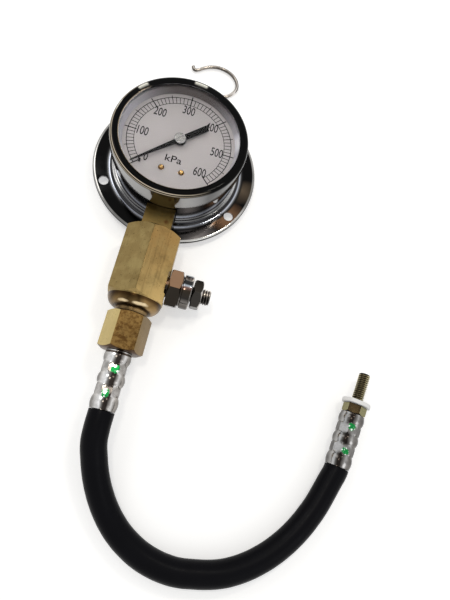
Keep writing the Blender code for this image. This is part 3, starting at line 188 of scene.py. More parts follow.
class Net:
    """A node tree with short ways to add nodes to it."""

    def __init__(self, tree):
        self.tree = tree

    def add(self, kind, inputs=None, **settings):
        """A shader node with its settings, and its inputs set to values or linked to sockets."""
        node = self.tree.nodes.new("ShaderNode" + kind)
        for name, value in settings.items():
            setattr(node, name, value)
        for name, value in (inputs or {}).items():
            if isinstance(value, bpy.types.NodeSocket):
                self.tree.links.new(value, node.inputs[name])
            else:
                node.inputs[name].default_value = value
        return node

    def math(self, operation, a, b=0.0, clamp=False):
        return self.add("Math", {0: a, 1: b}, operation=operation, use_clamp=clamp).outputs[0]

    def times(self, a, b):
        return self.math("MULTIPLY", a, b)

    def vector(self, operation, a, b=(0, 0, 0)):
        """Vector arithmetic: a number for a length, a distance or a dot product, and else a vector."""
        node = self.add("VectorMath", {0: a, 1: b}, operation=operation)
        return node.outputs["Value" if operation in ("LENGTH", "DISTANCE", "DOT_PRODUCT") else "Vector"]

    def mix(self, factor, a, b, blend="MIX"):
        """Mix of two colours."""
        sockets = {0: factor, 6: rgba(a), 7: rgba(b)}
        return self.add("Mix", sockets, data_type="RGBA", blend_type=blend).outputs[2]

    def darker(self, factor, tone, share):
        """A colour brought down to a share of itself where the factor is one."""
        return self.mix(factor, tone, (share, share, share), "MULTIPLY")

    def span(self, value, low, high, to_low=0.0, to_high=1.0):
        """A value carried from one range to another, and held inside it."""
        inputs = {"Value": value, "From Min": low, "From Max": high, "To Min": to_low, "To Max": to_high}
        return self.add("MapRange", inputs, clamp=True).outputs[0]

    def place(self):
        """Object coordinates."""
        return self.add("TexCoord").outputs["Object"]

    def normal(self):
        return self.add("NewGeometry").outputs["Normal"]

    def along(self, axis):
        """One coordinate of the place, 0 for X to 2 for Z."""
        return self.add("SeparateXYZ", {0: self.place()}).outputs[axis]

    def cloud(self, scale, detail=3.0, vector=None, roughness=0.55):
        """Noise over the object's place, or over another vector."""
        inputs = {"Vector": vector or self.place(), "Scale": scale, "Detail": detail, "Roughness": roughness}
        return self.add("TexNoise", inputs).outputs[0]

    def patches(self, scale, detail, low, high, roughness=0.55):
        """Mask of cloudy patches, none below one noise value and full above another."""
        return self.span(self.cloud(scale, detail, roughness=roughness), low, high)

    def ramp(self, value, stops):
        """Colour ramp over a value from -1 to 1; a stop is its place, then a colour or a grey and its warmth."""
        node = self.add("ValToRGB", {0: self.span(value, -1.0, 1.0)})
        marks = node.color_ramp.elements
        for i, (at, *parts) in enumerate((stops[0], stops[-1], *stops[1:-1])):
            mark = marks[i] if i < 2 else marks.new(at / 2 + 0.5)
            mark.position = at / 2 + 0.5
            mark.color = rgba(parts if len(parts) == 3 else grey(*parts))
        return node.outputs[0]

    def use(self, effect, output, **inputs):
        """An effect group's output, with its inputs set."""
        if not GROUPS:
            GROUPS.update(make_groups())
        return self.add("Group", inputs, node_tree=GROUPS[effect]).outputs[output]

    def facing(self, towards, start, end, wave=0.1, scale=60.0):
        """Mask of where a surface faces a direction."""
        return self.use("facing", "Mask", Direction=towards, Start=start, End=end, Wave=wave, Scale=scale)

    def across(self, direction, stops, wave=0.08, scale=120.0):
        """Tones of polished metal from one side of a round bar to the other."""
        unit = tuple(value / Vector(direction).length for value in direction)
        return self.ramp(self.use("facing", "Value", Direction=unit, Wave=wave, Scale=scale), stops)

    def blots(self, tone, spots, rag, core, paint):
        """Ragged blots of a colour over a tone, each with its centre and radius."""
        for centre, radius in spots:
            tone = self.mix(self.use("spot", "Mask", Centre=centre, Radius=radius, Rag=rag, Core=core), tone, paint)
        return tone


def group(name, inputs, outputs, build):
    """A shader node group; build gets the net and the input sockets, and returns the output sockets."""
    tree = bpy.data.node_groups.new(name, "ShaderNodeTree")
    for label, default in inputs.items():
        kind = "NodeSocketVector" if isinstance(default, tuple) else "NodeSocketFloat"
        tree.interface.new_socket(name=label, in_out="INPUT", socket_type=kind).default_value = default
    for label in outputs:
        tree.interface.new_socket(name=label, in_out="OUTPUT", socket_type="NodeSocketFloat")
    entry, leave = (tree.nodes.new(kind) for kind in ("NodeGroupInput", "NodeGroupOutput"))
    for label, socket in zip(outputs, build(Net(tree), entry.outputs)):
        tree.links.new(socket, leave.inputs[label])
    return tree


def build_smudges(net, given):
    """Cloudy change between two values, with a finer layer over it."""
    coarse = net.cloud(given["Scale"])
    fine = net.cloud(net.times(given["Scale"], 6.0), 2.0)
    mask = net.span(net.math("ADD", net.times(coarse, 0.7), net.times(fine, 0.3)), 0.36, 0.64)
    return mask, net.span(mask, 0.0, 1.0, given["Low"], given["High"])


def build_grain(net, given):
    """Fine lines, longer the smaller the stretch is along an axis."""
    place = net.add("Mapping", {"Vector": net.place(), "Scale": given["Stretch"]}).outputs[0]
    return (net.span(net.cloud(given["Scale"], 4.0, place, 0.7), 0.3, 0.7),)


def build_spot(net, given):
    """Mask of a blot with a ragged rim round a place."""
    rag = net.add("TexNoise", {"Vector": net.place(), "Scale": given["Rag"], "Detail": 3.0}).outputs["Color"]
    shift = net.vector("SUBTRACT", rag, (0.5, 0.5, 0.5))
    spread = net.add("VectorMath", {0: shift, "Scale": given["Radius"]}, operation="SCALE").outputs[0]
    away = net.vector("DISTANCE", net.vector("ADD", net.place(), spread), given["Centre"])
    return (net.span(net.math("DIVIDE", away, given["Radius"]), 1.0, given["Core"]),)


def build_facing(net, given):
    """How far a surface faces a direction, from -1 to 1, made a little uneven."""
    rough = net.math("SUBTRACT", net.cloud(given["Scale"], 2.0), 0.5)
    facing = net.vector("DOT_PRODUCT", net.normal(), given["Direction"])
    value = net.math("ADD", facing, net.times(rough, given["Wave"]))
    return value, net.span(value, given["Start"], given["End"])


def build_outward(net, given):
    """On a round piece: how far a surface faces away from the axis, its radius, and its side from -1 to 1."""
    flat = net.vector("MULTIPLY", net.vector("SUBTRACT", net.place(), given["Centre"]), (1.0, 1.0, 0.0))
    away = net.vector("NORMALIZE", flat)
    return (net.vector("DOT_PRODUCT", net.normal(), away), net.vector("LENGTH", flat),
            net.vector("DOT_PRODUCT", away, given["Side"]))


def make_groups():
    """The effects that several finishes share."""
    effects = {
        "outward": ({"Centre": (0, 0.027, 0), "Side": (-0.75, -0.66, 0)}, ("Value", "Radius", "Side"), build_outward),
        "smudges": ({"Scale": 60.0, "Low": 0.1, "High": 0.3}, ("Mask", "Value"), build_smudges),
        "grain": ({"Scale": 800.0, "Stretch": (1, 1, 1)}, ("Height",), build_grain),
        "spot": ({"Centre": (0, 0, 0), "Radius": 0.004, "Rag": 300.0, "Core": 0.6}, ("Mask",), build_spot),
        "facing": ({"Direction": (0, 0, 1), "Start": 0.2, "End": 0.8, "Wave": 0.1, "Scale": 90.0},
                   ("Value", "Mask"), build_facing),
    }
    return {name: group(name, *effect) for name, effect in effects.items()}


# Finishes

def new_finish(name, **constants):
    """An empty Principled finish; constants go straight onto the shader's sockets."""
    material = bpy.data.materials.new(name)
    material.use_nodes = True
    shader = material.node_tree.nodes["Principled BSDF"]
    for label, value in constants.items():
        shader.inputs[label.replace("_", " ")].default_value = value
    return material, Net(material.node_tree), shader


def dress(net, shader, tone, gloss, height, relief):
    """Link a finish's colour, gloss and relief to its shader."""
    bump = net.add("Bump", {"Height": height, "Strength": relief, "Distance": 0.0001}).outputs[0]
    for label, socket in (("Base Color", tone), ("Roughness", gloss), ("Normal", bump)):
        net.tree.links.new(socket, shader.inputs[label])


def metal(name, paint, gloss, mottle=0.3, cloud=60.0, grain=(1.0, 1.0, 1.0), relief=0.04):
    """A metal: its painted tone, cloudy tarnish, machining lines and uneven gloss."""
    material, net, shader = new_finish(name, Metallic=1.0)
    tone, dull = paint(net), None
    if isinstance(tone, tuple):
        tone, dull = tone
    tone = net.darker(net.times(net.use("smudges", "Mask", Scale=cloud), mottle), tone, 0.55)
    lines = net.use("grain", "Height", Scale=700.0, Stretch=grain)
    tone = net.darker(net.times(lines, mottle * 0.6), tone, 0.6)
    rough = net.use("smudges", "Value", Scale=cloud * 1.7, Low=gloss[0], High=gloss[1])
    if dull is not None:
        rough = net.math("ADD", rough, net.times(dull, 0.25))
    dress(net, shader, tone, rough, lines, relief)
    return material


def plain(name, base, gloss, cloud, relief, dim, shine, shade=None):
    """A painted, moulded or rubber finish with uneven tone, gloss and skin."""
    material, net, shader = new_finish(name, Specular_IOR_Level=shine)
    fine = net.patches(cloud * 25, 2.0, 0.35, 0.65)
    tone = net.darker(net.times(net.use("smudges", "Mask", Scale=cloud), 0.6), chosen(base), dim)
    tone = net.darker(net.times(fine, 0.15), tone, dim * dim)
    if shade:
        tone = shade(net, tone)
    rough = net.use("smudges", "Value", Scale=cloud * 2, Low=gloss[0], High=gloss[1])
    dress(net, shader, tone, rough, fine, relief)
    return material


def glass(name):
    """Clear glass with faint smears in its gloss."""
    material, net, shader = new_finish(name, Transmission_Weight=1.0, IOR=1.18, Base_Color=(1, 1, 1, 1))
    net.tree.links.new(net.use("smudges", "Value", Scale=40.0, Low=0.0, High=0.03), shader.inputs["Roughness"])
    return material


def paint_chrome(net, sides, start, end):
    """Polished chrome: near black where it looks up, and bands of light and dark round its sides."""
    bands = [(at, *(share * part for part in chosen("chrome"))) for at, share in sides]
    side = net.across((1, 0, 0), bands, 0.16, 60.0)
    return net.mix(net.facing((0, 0, 1), start, end, 0.1, 50.0), side, chosen("chrome_dark"))


# Painted highlights on the bezel: their angle and half width in degrees, and where they start and end across its roll
BEZEL_PAINTED_HIGHLIGHTS = ((138.8, 4.2, -0.02, 0.14), (85.0, 5.2, -0.02, 0.14), (138.0, 3.0, 0.3, 0.4), (168.0, 4.5, 0.3, 0.42))


def paint_bezel(net):
    """Near black roll with thin bright lines along its lower left, and warm lights at its top."""
    tone = paint_chrome(net, [(-1.0, 0.25), (-0.8, 0.75), (-0.5, 0.2), (-0.2, 0.9), (0.3, 0.7), (0.6, 0.12),
                              (1.0, 0.2)], 0.1, 0.5)
    crown = net.use("outward", "Value")
    # Painted reflections: rings of light and dark across the roll
    lines = net.ramp(crown, [
        (-1.0, 0.3, 0.25, 0.18), (-0.72, 0.6, 0.5, 0.36), (-0.4, 0.25, 0.2, 0.14), (-0.2, 0.006), (0.34, 0.006),
        (0.42, 0.55, 0.47, 0.36), (0.56, 0.4, 0.34, 0.26), (0.62, 0.006), (0.76, 0.01), (0.82, 0.5, 0.42, 0.3),
        (0.92, 0.03), (1.0, 0.3)])
    left = net.span(net.use("outward", "Side"), 0.0, 0.55)
    tone = net.mix(left, tone, lines)
    # Painted highlight along the inner lip at the left
    tone = net.mix(net.times(net.span(crown, -0.7, -0.85), left), tone, (0.7, 0.68, 0.72))
    # Painted warm highlights at the top of the roll
    for angle, half_width, low, high in BEZEL_PAINTED_HIGHLIGHTS:
        side = net.use("outward", "Side", Side=(cos(radians(angle)), sin(radians(angle)), 0.0))
        near = net.span(side, cos(radians(half_width + 1.4)), cos(radians(half_width - 0.2)))
        band = net.times(net.span(crown, low, low + 0.08), net.span(crown, high + 0.08, high))
        tone = net.mix(net.times(near, band), tone, (1.0, 0.97, 0.85))
    return tone


def paint_case(net):
    """Bands of light and dark round the case, dim by the flange."""
    tone = paint_chrome(net, [(-1.0, 0.04), (-0.88, 0.1), (-0.82, 1.2), (-0.74, 0.12), (-0.62, 0.3), (-0.5, 0.6),
                              (-0.3, 0.45), (0.1, 1.0), (0.4, 0.9), (0.62, 0.2), (0.74, 0.9), (0.82, 0.1),
                              (0.9, 0.7), (1.0, 0.06)], 0.3, 0.7)
    # Painted shade: darker towards the flange, with a wavy edge
    height = net.math("ADD", net.along(2), net.times(net.cloud(45.0, 2.0), 0.004))
    return net.darker(net.span(height, 0.0135, 0.0105), tone, 0.25)


def paint_flange(net):
    """Black plate with a bright rim, streaks of light on the collar and warm reflections at the lower right."""
    tone = paint_chrome(net, [(-1.0, 1.3), (-0.7, 1.2), (-0.4, 0.9), (0.1, 0.45), (0.5, 0.9), (1.0, 0.9)], 0.35, 0.8)
    # Painted warm reflections at the lower right
    for centre, radius, light in (((0.0218, -0.0085, 0.006), 0.012, (0.2, 0.18, 0.17)),
                                  ((0.0325, 0.0075, 0.006), 0.010, (0.2, 0.11, 0.06)),
                                  ((0.0372, 0.024, 0.006), 0.008, (0.1, 0.075, 0.05))):
        tone = net.blots(tone, [(centre, radius)], 60.0, 0.05, light)
    reach = net.use("outward", "Radius")
    streaks = net.patches(38.0, 2.0, 0.38, 0.6)
    # Painted reflections: rings of light and dark over the collar step, and light on the collar and the rim
    steps = net.ramp(net.span(reach, 0.0315, 0.0365, -1.0, 1.0), [
        (-1.0, 0.25), (-0.7, 0.7), (-0.45, 0.05), (-0.05, 0.02), (0.22, 0.55, 0.58, 0.66), (0.4, 0.2), (0.65, 0.02),
        (1.0, 0.008)])
    collar = net.times(net.span(reach, 0.0368, 0.036), net.span(streaks, 0.0, 1.0, 0.85, 1.0))
    rim = net.times(net.span(reach, 0.0414, 0.0417), net.span(streaks, 0.0, 1.0, 0.35, 1.0))
    tone = net.mix(rim, net.mix(collar, tone, steps), (0.5, 0.49, 0.47))
    # Painted dark reflection round the outermost edge
    return net.mix(net.span(reach, 0.0424, 0.0427), tone, grey(0.03))


def paint_coupling(net):
    """Olive and mottled on one face, golden and scratched on the next, browner on the turned shoulder."""
    # Painted light: faces turned to the right are golden and brighter towards their lower end, the others olive
    right = net.facing((1, 0, 0), -0.3, 0.3)
    gold = net.mix(net.span(net.along(1), -0.024, -0.054), (0.37, 0.225, 0.078), (0.6, 0.42, 0.165))
    tone = net.mix(right, (0.26, 0.185, 0.072), gold)
    bloom = net.times(net.patches(170.0, 4.0, 0.42, 0.62), net.span(right, 0.0, 1.0, 0.5, 0.25))
    tone = net.mix(bloom, tone, (0.4, 0.31, 0.13))
    tone = net.mix(net.times(net.patches(75.0, 5.0, 0.5, 0.66, 0.65), 0.55), tone, (0.2, 0.135, 0.05))
    long_lines = net.use("grain", "Height", Scale=420.0, Stretch=(1.0, 0.06, 1.0))
    tone = net.darker(net.times(net.span(long_lines, 0.6, 0.9), net.span(right, 0.0, 1.0, 0.2, 0.4)), tone, 0.45)
    tone = net.darker(net.times(net.patches(1400.0, 1.0, 0.68, 0.74), 0.7), tone, 0.3)
    # Painted dark reflection where a face looks up
    tone = net.darker(net.facing((0, 0, 1), 0.86, 0.97, 0.02), tone, 0.35)
    # Painted shade on the turned shoulder: darkest just under the hexagon, lighter below, dark again at the neck
    turned = net.ramp(net.span(net.along(1), -0.0512, -0.0585, -1.0, 1.0), [
        (-1.0, 0.06, 0.03, 0.01), (-0.7, 0.1, 0.055, 0.02), (-0.2, 0.3, 0.19, 0.075), (0.5, 0.36, 0.24, 0.11),
        (1.0, 0.1, 0.06, 0.025)])
    # Painted reflection bands round the shoulder
    bands = net.across((1, 0, 0), [(-1.0, 0.9), (-0.75, 0.3), (-0.5, 0.6), (-0.2, 0.2), (0.05, 0.4), (0.16, 0.25),
                                   (0.4, 1.0), (0.7, 1.0), (1.0, 0.4)], 0.3, 220.0)
    turned = net.mix(1.0, turned, bands, "MULTIPLY")
    # Painted highlights on the shoulder
    for towards in ((-0.279, -0.707, 0.65), (0.147, -0.707, 0.692), (0.33, -0.66, 0.675)):
        turned = net.mix(net.facing(towards, 0.982, 0.998, 0.02, 500.0), turned, (0.85, 0.68, 0.42))
    return net.mix(net.span(net.along(1), -0.0511, -0.0513), tone, turned)


def paint_adapter(net):
    """Pale on one face, stained brown on the middle one, dark round its lower chamfer."""
    # Painted light: the faces' tones from left to right
    tone = net.across((1, 0, 0), [(-1.0, 0.52, 0.41, 0.18), (-0.5, 0.5, 0.39, 0.16), (-0.3, 0.15, 0.09, 0.03),
                                  (0.45, 0.15, 0.09, 0.03), (0.7, 0.24, 0.165, 0.07), (1.0, 0.22, 0.15, 0.07)])
    middle = net.facing((0.136, 0, 0.99), 0.85, 0.95, 0.02)
    tone = net.mix(net.times(middle, net.patches(520.0, 5.0, 0.44, 0.6, 0.7)), tone, (0.07, 0.035, 0.01))
    tone = net.blots(tone, (((0.0012, -0.0706, 0.0225), 0.0022), ((0.0004, -0.0733, 0.0225), 0.0014)), 900.0, 0.1,
                     (0.05, 0.022, 0.008))
    tone = net.darker(net.times(net.patches(1300.0, 2.0, 0.62, 0.7), 0.6), tone, 0.4)
    # Painted shade on the lower chamfer, then a painted reflection on the upper one
    tone = net.mix(net.facing((0, -1, 0), 0.3, 0.6, 0.1, 90.0), tone, (0.08, 0.04, 0.015))
    return net.mix(net.facing((0, 1, 0), 0.3, 0.6, 0.1, 90.0), tone, (0.2, 0.14, 0.09))


def paint_stem(net):
    """Brown stem, darkest under the bezel, with a scratch across it and small stains."""
    # Painted shade: darker towards the bezel
    tone = net.ramp(net.span(net.along(1), -0.0135, 0.002, -1.0, 1.0), [
        (-1.0, 0.16, 0.105, 0.035), (-0.3, 0.1, 0.066, 0.02), (0.1, 0.05, 0.03, 0.009), (0.3, 0.02, 0.01, 0.003),
        (1.0, 0.012, 0.006, 0.002)])
    tone = net.mix(net.times(net.patches(210.0, 3.0, 0.42, 0.6), 0.4), tone, (0.13, 0.095, 0.035))
    # Painted dark line where the shade under the bezel deepens
    sway = net.math("SUBTRACT", 0.0047, net.times(net.cloud(120.0, 2.0), 0.0012))
    line = net.math("ABSOLUTE", net.math("ADD", net.along(1), sway))
    tone = net.mix(net.span(line, 0.0005, 0.0003), tone, (0.003, 0.002, 0.001))
    return net.blots(tone, (((0.004, -0.0117, 0.0201), 0.0016), ((0.0055, -0.0085, 0.0201), 0.0012)), 500.0, 0.2,
                     (0.06, 0.018, 0.006))


def paint_valve(net):
    """Warm upper flat and dark lower ones; bright and dark bands round the collar."""
    # Painted light on the flats, then painted reflections round the collar
    flats = net.across((0, 1, 0), [(-1.0, 0.03, 0.2), (-0.1, 0.02, 0.2), (0.1, 0.29, 0.17, 0.1),
                                   (0.6, 0.32, 0.19, 0.11), (1.0, 0.3)], 0.02)
    collar = net.across((0, 1, 0), [
        (-1.0, 0.06, 0.1), (-0.82, 0.2, 0.08), (-0.62, 0.03, 0.1), (-0.18, 0.03, 0.3), (0.0, 0.2, 0.12, 0.1),
        (0.1, 0.5, -0.1), (0.2, 0.03), (0.42, 0.04), (0.52, 0.95, 0.85, 0.75), (0.62, 0.2, 0.13, 0.1),
        (0.76, 0.6, -0.05), (1.0, 0.1)], 0.05)
    tone = net.mix(net.span(net.along(0), 0.0191, 0.0194), flats, collar)
    # Painted light on the end face
    return net.mix(net.facing((1, 0, 0), 0.4, 0.7, 0.05), tone, grey(0.3, 0.05))


def paint_nut(net):
    """Dark flats and a bright end."""
    tone = net.across((0, 1, 0), [(-1.0, 0.07, 0.1), (-0.5, 0.035, 0.1), (0.2, 0.045, 0.15), (0.6, 0.025, 0.2),
                                  (1.0, 0.12, 0.1)])
    return net.mix(net.facing((1, 0, 0), 0.35, 0.6, 0.05), tone, grey(0.45, 0.05))


def valleys(net, matrix, root, crest):
    """Mask of a thread's valleys, by the distance from the axis that the matrix places."""
    along = (matrix.to_3x3() @ Vector((0, 0, 1))).normalized()
    reach = net.vector("SUBTRACT", net.place(), tuple(matrix.translation))
    return net.span(net.vector("LENGTH", net.vector("CROSS_PRODUCT", reach, tuple(along))), crest, root)


def paint_stud(net):
    """Steel stud: bright lines along it, broken by dark thread valleys."""
    tone = net.across((0, 1, 0), [(-1.0, 0.2, 0.1), (-0.4, 0.08, 0.1), (-0.05, 0.3, 0.1), (0.12, 1.0, 0.1),
                                  (0.3, 0.5, 0.1), (0.6, 0.8, 0.1), (1.0, 0.3, 0.1)])
    # Painted shade in the thread valleys
    return net.darker(valleys(net, VALVE, 0.0034, 0.0037), tone, 0.08)


# Directions across both ferrules for their painted reflections, and the green dabs on them
RIGHT, FAR_RIGHT = (0.996, 0.0, -0.085), (0.903, -0.14, 0.407)
NEAR_DABS = (((0.00092, -0.08412, 0.02077), 0.0022), ((-0.00039, -0.09494, 0.02106), 0.002))
FAR_DABS = (((0.11387, -0.08308, 0.01219), 0.002), ((0.11233, -0.09433, 0.01187), 0.0019))


def paint_zinc(net):
    """Yellow zinc: olive sides, two bright lines and a dark middle, and dark thread valleys."""
    olive, light, dark = chosen("yellow_zinc"), (1.0, 0.92, 0.62), (0.02, 0.014, 0.007)
    # Painted reflections across the fitting
    tone = net.across(FAR_RIGHT, [(-1.0, *olive), (-0.74, *olive), (-0.66, *light), (-0.58, 0.3, 0.22, 0.1),
                                  (-0.5, *dark), (0.26, *dark), (0.38, 0.4, 0.3, 0.14), (0.5, *light),
                                  (0.64, *olive), (1.0, *olive)], 0.04)
    # Painted sheen over the threaded part
    thread = net.span(net.along(1), -0.0707, -0.0702)
    tone = net.mix(net.times(thread, 0.25), tone, (1.0, 0.85, 0.5), "ADD")
    # Painted shade in the thread valleys
    return net.darker(net.times(thread, valleys(net, FAR, 0.00268, 0.00288)), tone, 0.04)


def paint_sleeve(right, along, dabs, painted_shade_share):
    """Crimped nickel: dark down the middle, bright beside it, with dabs of green paint in the waists."""
    def paint(net):
        # Painted reflections across the sleeve
        tone = net.across(right, [
            (-1.0, 0.1, 0.06), (-0.82, 0.32, 0.04), (-0.6, 0.75, 0.02), (-0.34, 0.9), (-0.2, 0.2, 0.06),
            (-0.05, 0.04, 0.032, 0.028), (0.2, 0.035, 0.028, 0.025), (0.36, 0.3, 0.06), (0.5, 0.8, 0.02),
            (0.66, 0.4, 0.06), (0.85, 0.25, 0.08), (1.0, 0.08, 0.08)], 0.22, 240.0)
        tone = net.darker(net.times(net.patches(420.0, 3.0, 0.35, 0.65), 0.6), tone, 0.5)
        # Painted shade: the far sleeve is a darker copy of the near one
        tone = net.darker(1.0, tone, painted_shade_share)
        # Painted highlight where the crimps' flanks face along the sleeve, on its left
        shine = net.facing(along, 0.42, 0.62, 0.2, 300.0)
        left = net.facing(right, 0.1, -0.25, 0.2, 300.0)
        tone = net.mix(net.times(shine, left), tone, grey(0.85 * painted_shade_share))
        # Painted shade on the flanks that face back
        back = net.facing(tuple(-value for value in along), 0.4, 0.65, 0.2, 300.0)
        tone = net.darker(net.times(back, 0.7), tone, 0.35)
        dull = None
        for centre, radius in dabs:
            blot = net.use("spot", "Mask", Centre=centre, Radius=radius, Rag=500.0, Core=0.8)
            # The green is partly whitened by a painted highlight
            dab = net.mix(net.patches(650.0, 1.0, 0.54, 0.6), chosen("paint"), (0.86, 0.95, 0.9))
            tone = net.mix(blot, tone, dab)
            dull = blot if dull is None else net.math("MAXIMUM", dull, blot)
        return tone, dull
    return paint


def paint_hook(net):
    """Dark wire with one bright line along it."""
    return net.across((0.6, 0.8, 0), [(-1.0, 0.07, 0.12), (-0.5, 0.15, 0.12), (-0.1, 0.3, 0.12), (0.08, 0.8, 0.05),
                                      (0.22, 0.1, 0.15), (0.6, 0.05, 0.2), (1.0, 0.04, 0.2)], 0.25, 200.0)


def paint_upward(top, side, start, end):
    """One tone where a piece faces up, another at its sides."""
    return lambda net: net.mix(net.facing((0, 0, 1), start, end, 0.05, 300.0), side, top)


def paint_even(name):
    """One tone all over, which the metal's tarnish then varies."""
    return lambda net: net.mix(net.patches(150.0, 3.0, 0.4, 0.6), chosen(name),
                               tuple(value * 0.8 for value in chosen(name)))


def shade_ring(net, tone):
    """The spacer ring is darker and browner under the top of the bezel, with one light on it."""
    tone = net.mix(net.span(net.along(1), 0.036, 0.054), tone, (0.1, 0.085, 0.082))
    return net.blots(tone, [((0.0262, 0.034, 0.03), 0.006)], 20.0, 0.4, (0.9, 0.9, 0.95))


def shade_dial(net, tone):
    """The dial is a little duller at its top."""
    return net.darker(net.span(net.along(1), 0.03, 0.054), tone, 0.86)


LENGTHWISE = (1.0, 0.12, 1.0)
# How each finish is made: a metal's painter, gloss, mottling, cloud scale, grain and relief,
# or a plain finish's colour, gloss, cloud scale, relief, dimness, shine and shade
MAKERS = {
    "chrome": (metal, paint_bezel, (0.04, 0.1), 0.1, 90.0, (1, 1, 4), 0.02),
    "case_chrome": (metal, paint_case, (0.05, 0.12), 0.1, 90.0, (1, 1, 4), 0.02),
    "flange_chrome": (metal, paint_flange, (0.06, 0.14), 0.12, 90.0, (1, 1, 4), 0.02),
    "nickel": (metal, paint_valve, (0.1, 0.2), 0.2, 140.0, (0.3, 1, 1), 0.04),
    "nut_nickel": (metal, paint_nut, (0.14, 0.28), 0.25, 160.0, (0.3, 1, 1), 0.05),
    "hook_nickel": (metal, paint_hook, (0.1, 0.22), 0.15, 200.0, (1, 1, 1), 0.04),
    "near_sleeve": (metal, paint_sleeve(RIGHT, (0, -1, 0), NEAR_DABS, 1.0), (0.1, 0.24), 0.15, 160.0, (1, 0.2, 1),
                    0.06),
    "far_sleeve": (metal, paint_sleeve(FAR_RIGHT, (-0.153, -0.988, 0), FAR_DABS, 0.55), (0.1, 0.24), 0.15, 160.0,
                   (1, 0.2, 1), 0.06),
    "brass": (metal, paint_even("brass"), (0.26, 0.42), 0.3, 55.0, LENGTHWISE, 0.06),
    "coupling_brass": (metal, paint_coupling, (0.26, 0.38), 0.22, 75.0, LENGTHWISE, 0.07),
    "adapter_brass": (metal, paint_adapter, (0.26, 0.4), 0.25, 90.0, LENGTHWISE, 0.07),
    "stem_brass": (metal, paint_stem, (0.28, 0.42), 0.35, 110.0, LENGTHWISE, 0.07),
    # Painted reflections on the dial screws' heads: bright on top, dark at the sides
    "polished_brass": (metal, paint_upward((0.75, 0.5, 0.2), (0.13, 0.05, 0.012), 0.72, 0.96), (0.1, 0.2), 0.2,
                       300.0),
    "zinc_yellow": (metal, paint_zinc, (0.16, 0.3), 0.3, 260.0),
    # Painted reflection on the pointer's cap: darker on top than at its sides
    "cap_chrome": (metal, paint_upward((0.42, 0.41, 0.39), (0.75, 0.75, 0.76), 0.6, 0.95), (0.2, 0.34), 0.5, 420.0),
    "steel": (metal, paint_stud, (0.16, 0.3), 0.25, 200.0),
    "bronze": (metal, paint_even("bronze"), (0.25, 0.4), 0.3, 150.0),
    "dial_white": (plain, "dial", (0.42, 0.55), 60.0, 0.01, 0.95, 0.4, shade_dial),
    "ring_grey": (plain, "ring", (0.35, 0.5), 80.0, 0.02, 0.88, 0.4, shade_ring),
    "pointer_black": (plain, "ink", (0.4, 0.55), 200.0, 0.03, 0.6, 0.05),
    "rubber": (plain, "rubber", (0.28, 0.42), 90.0, 0.05, 0.6, 0.05),
    "nylon": (plain, "nylon", (0.35, 0.5), 150.0, 0.05, 0.9, 0.4),
    "glass": (glass,),
}


def finish(name):
    """A finish, made when it is first asked for."""
    if name not in FINISHES:
        make, *values = MAKERS[name]
        FINISHES[name] = make(name, *values)
    return FINISHES[name]


# Shapes

def mm(value):
    """A length property in millimetres."""
    return value / MM


def arc(center, radius, start, end, steps):
    """Points of an arc from start to end degrees, both ends included."""
    angles = [radians(start + (end - start) * i / steps) for i in range(steps + 1)]
    return [(center[0] + radius * cos(a), center[1] + radius * sin(a)) for a in angles]


def outwards(bm):
    """Turn the faces outwards."""
    bmesh.ops.recalc_face_normals(bm, faces=bm.faces)
    return bm


def spun(outline, steps=96, sweep=360.0):
    """A section of (radius, height) points turned about Z; a section that meets the axis closes there."""
    bm = bmesh.new()
    verts = [bm.verts.new((r, 0, z)) for r, z in outline]
    edges = [bm.edges.new(pair) for pair in zip(verts, verts[1:] + verts[:1]) if pair[0].co.x or pair[1].co.x]
    bmesh.ops.spin(bm, geom=verts + edges, axis=(0, 0, 1), cent=(0, 0, 0), angle=radians(sweep), steps=steps,
                   use_merge=sweep == 360.0)
    bmesh.ops.remove_doubles(bm, verts=bm.verts, dist=1e-4)
    return outwards(bm)


def solid(outline, steps=96):
    """A section closed to the axis at both of its ends, and turned about Z."""
    return spun([(0, outline[0][1]), *outline, (0, outline[-1][1])], steps)


def rod(radius, low, high, steps):
    """A round bar between two heights, as a tool or as part of a piece."""
    return solid([(radius, low), (radius, high)], steps)


def extruded(bm, low, high):
    """Raise the flat faces of bm from low to high."""
    bmesh.ops.translate(bm, verts=bm.verts, vec=(0, 0, low))
    grown = bmesh.ops.extrude_face_region(bm, geom=bm.faces[:])
    top = [item for item in grown["geom"] if isinstance(item, bmesh.types.BMVert)]
    bmesh.ops.translate(bm, verts=top, vec=(0, 0, high - low))
    return outwards(bm)


def box(low, high):
    """A block between two corners."""
    bm = bmesh.new()
    bmesh.ops.create_cube(bm, size=1)
    bmesh.ops.scale(bm, verts=bm.verts, vec=Vector(high) - Vector(low))
    bmesh.ops.translate(bm, verts=bm.verts, vec=(Vector(high) + Vector(low)) / 2)
    return bm


def moved(bm, matrix):
    """bm turned and moved."""
    bmesh.ops.transform(bm, matrix=matrix, verts=bm.verts)
    return bm


def mesh_from(bm, name="work"):
    """A mesh made from bm, which is used up."""
    mesh = bpy.data.meshes.new(name)
    bm.to_mesh(mesh)
    bm.free()
    return mesh


def carve(base, tool, operation="DIFFERENCE"):
    """Boolean of two bmeshes; both are used up."""
    objects = []
    for bm in (base, tool):
        obj = bpy.data.objects.new("work", mesh_from(outwards(bm)))
        bpy.context.collection.objects.link(obj)
        objects.append(obj)
    cut = objects[0].modifiers.new("cut", "BOOLEAN")
    cut.operation = operation
    cut.solver = "EXACT"
    cut.object = objects[1]
    result = bmesh.new()
    result.from_object(objects[0], bpy.context.evaluated_depsgraph_get())
    for obj in objects:
        mesh = obj.data
        bpy.data.objects.remove(obj)
        bpy.data.meshes.remove(mesh)
    bmesh.ops.remove_doubles(result, verts=result.verts, dist=1e-4)
    return outwards(result)


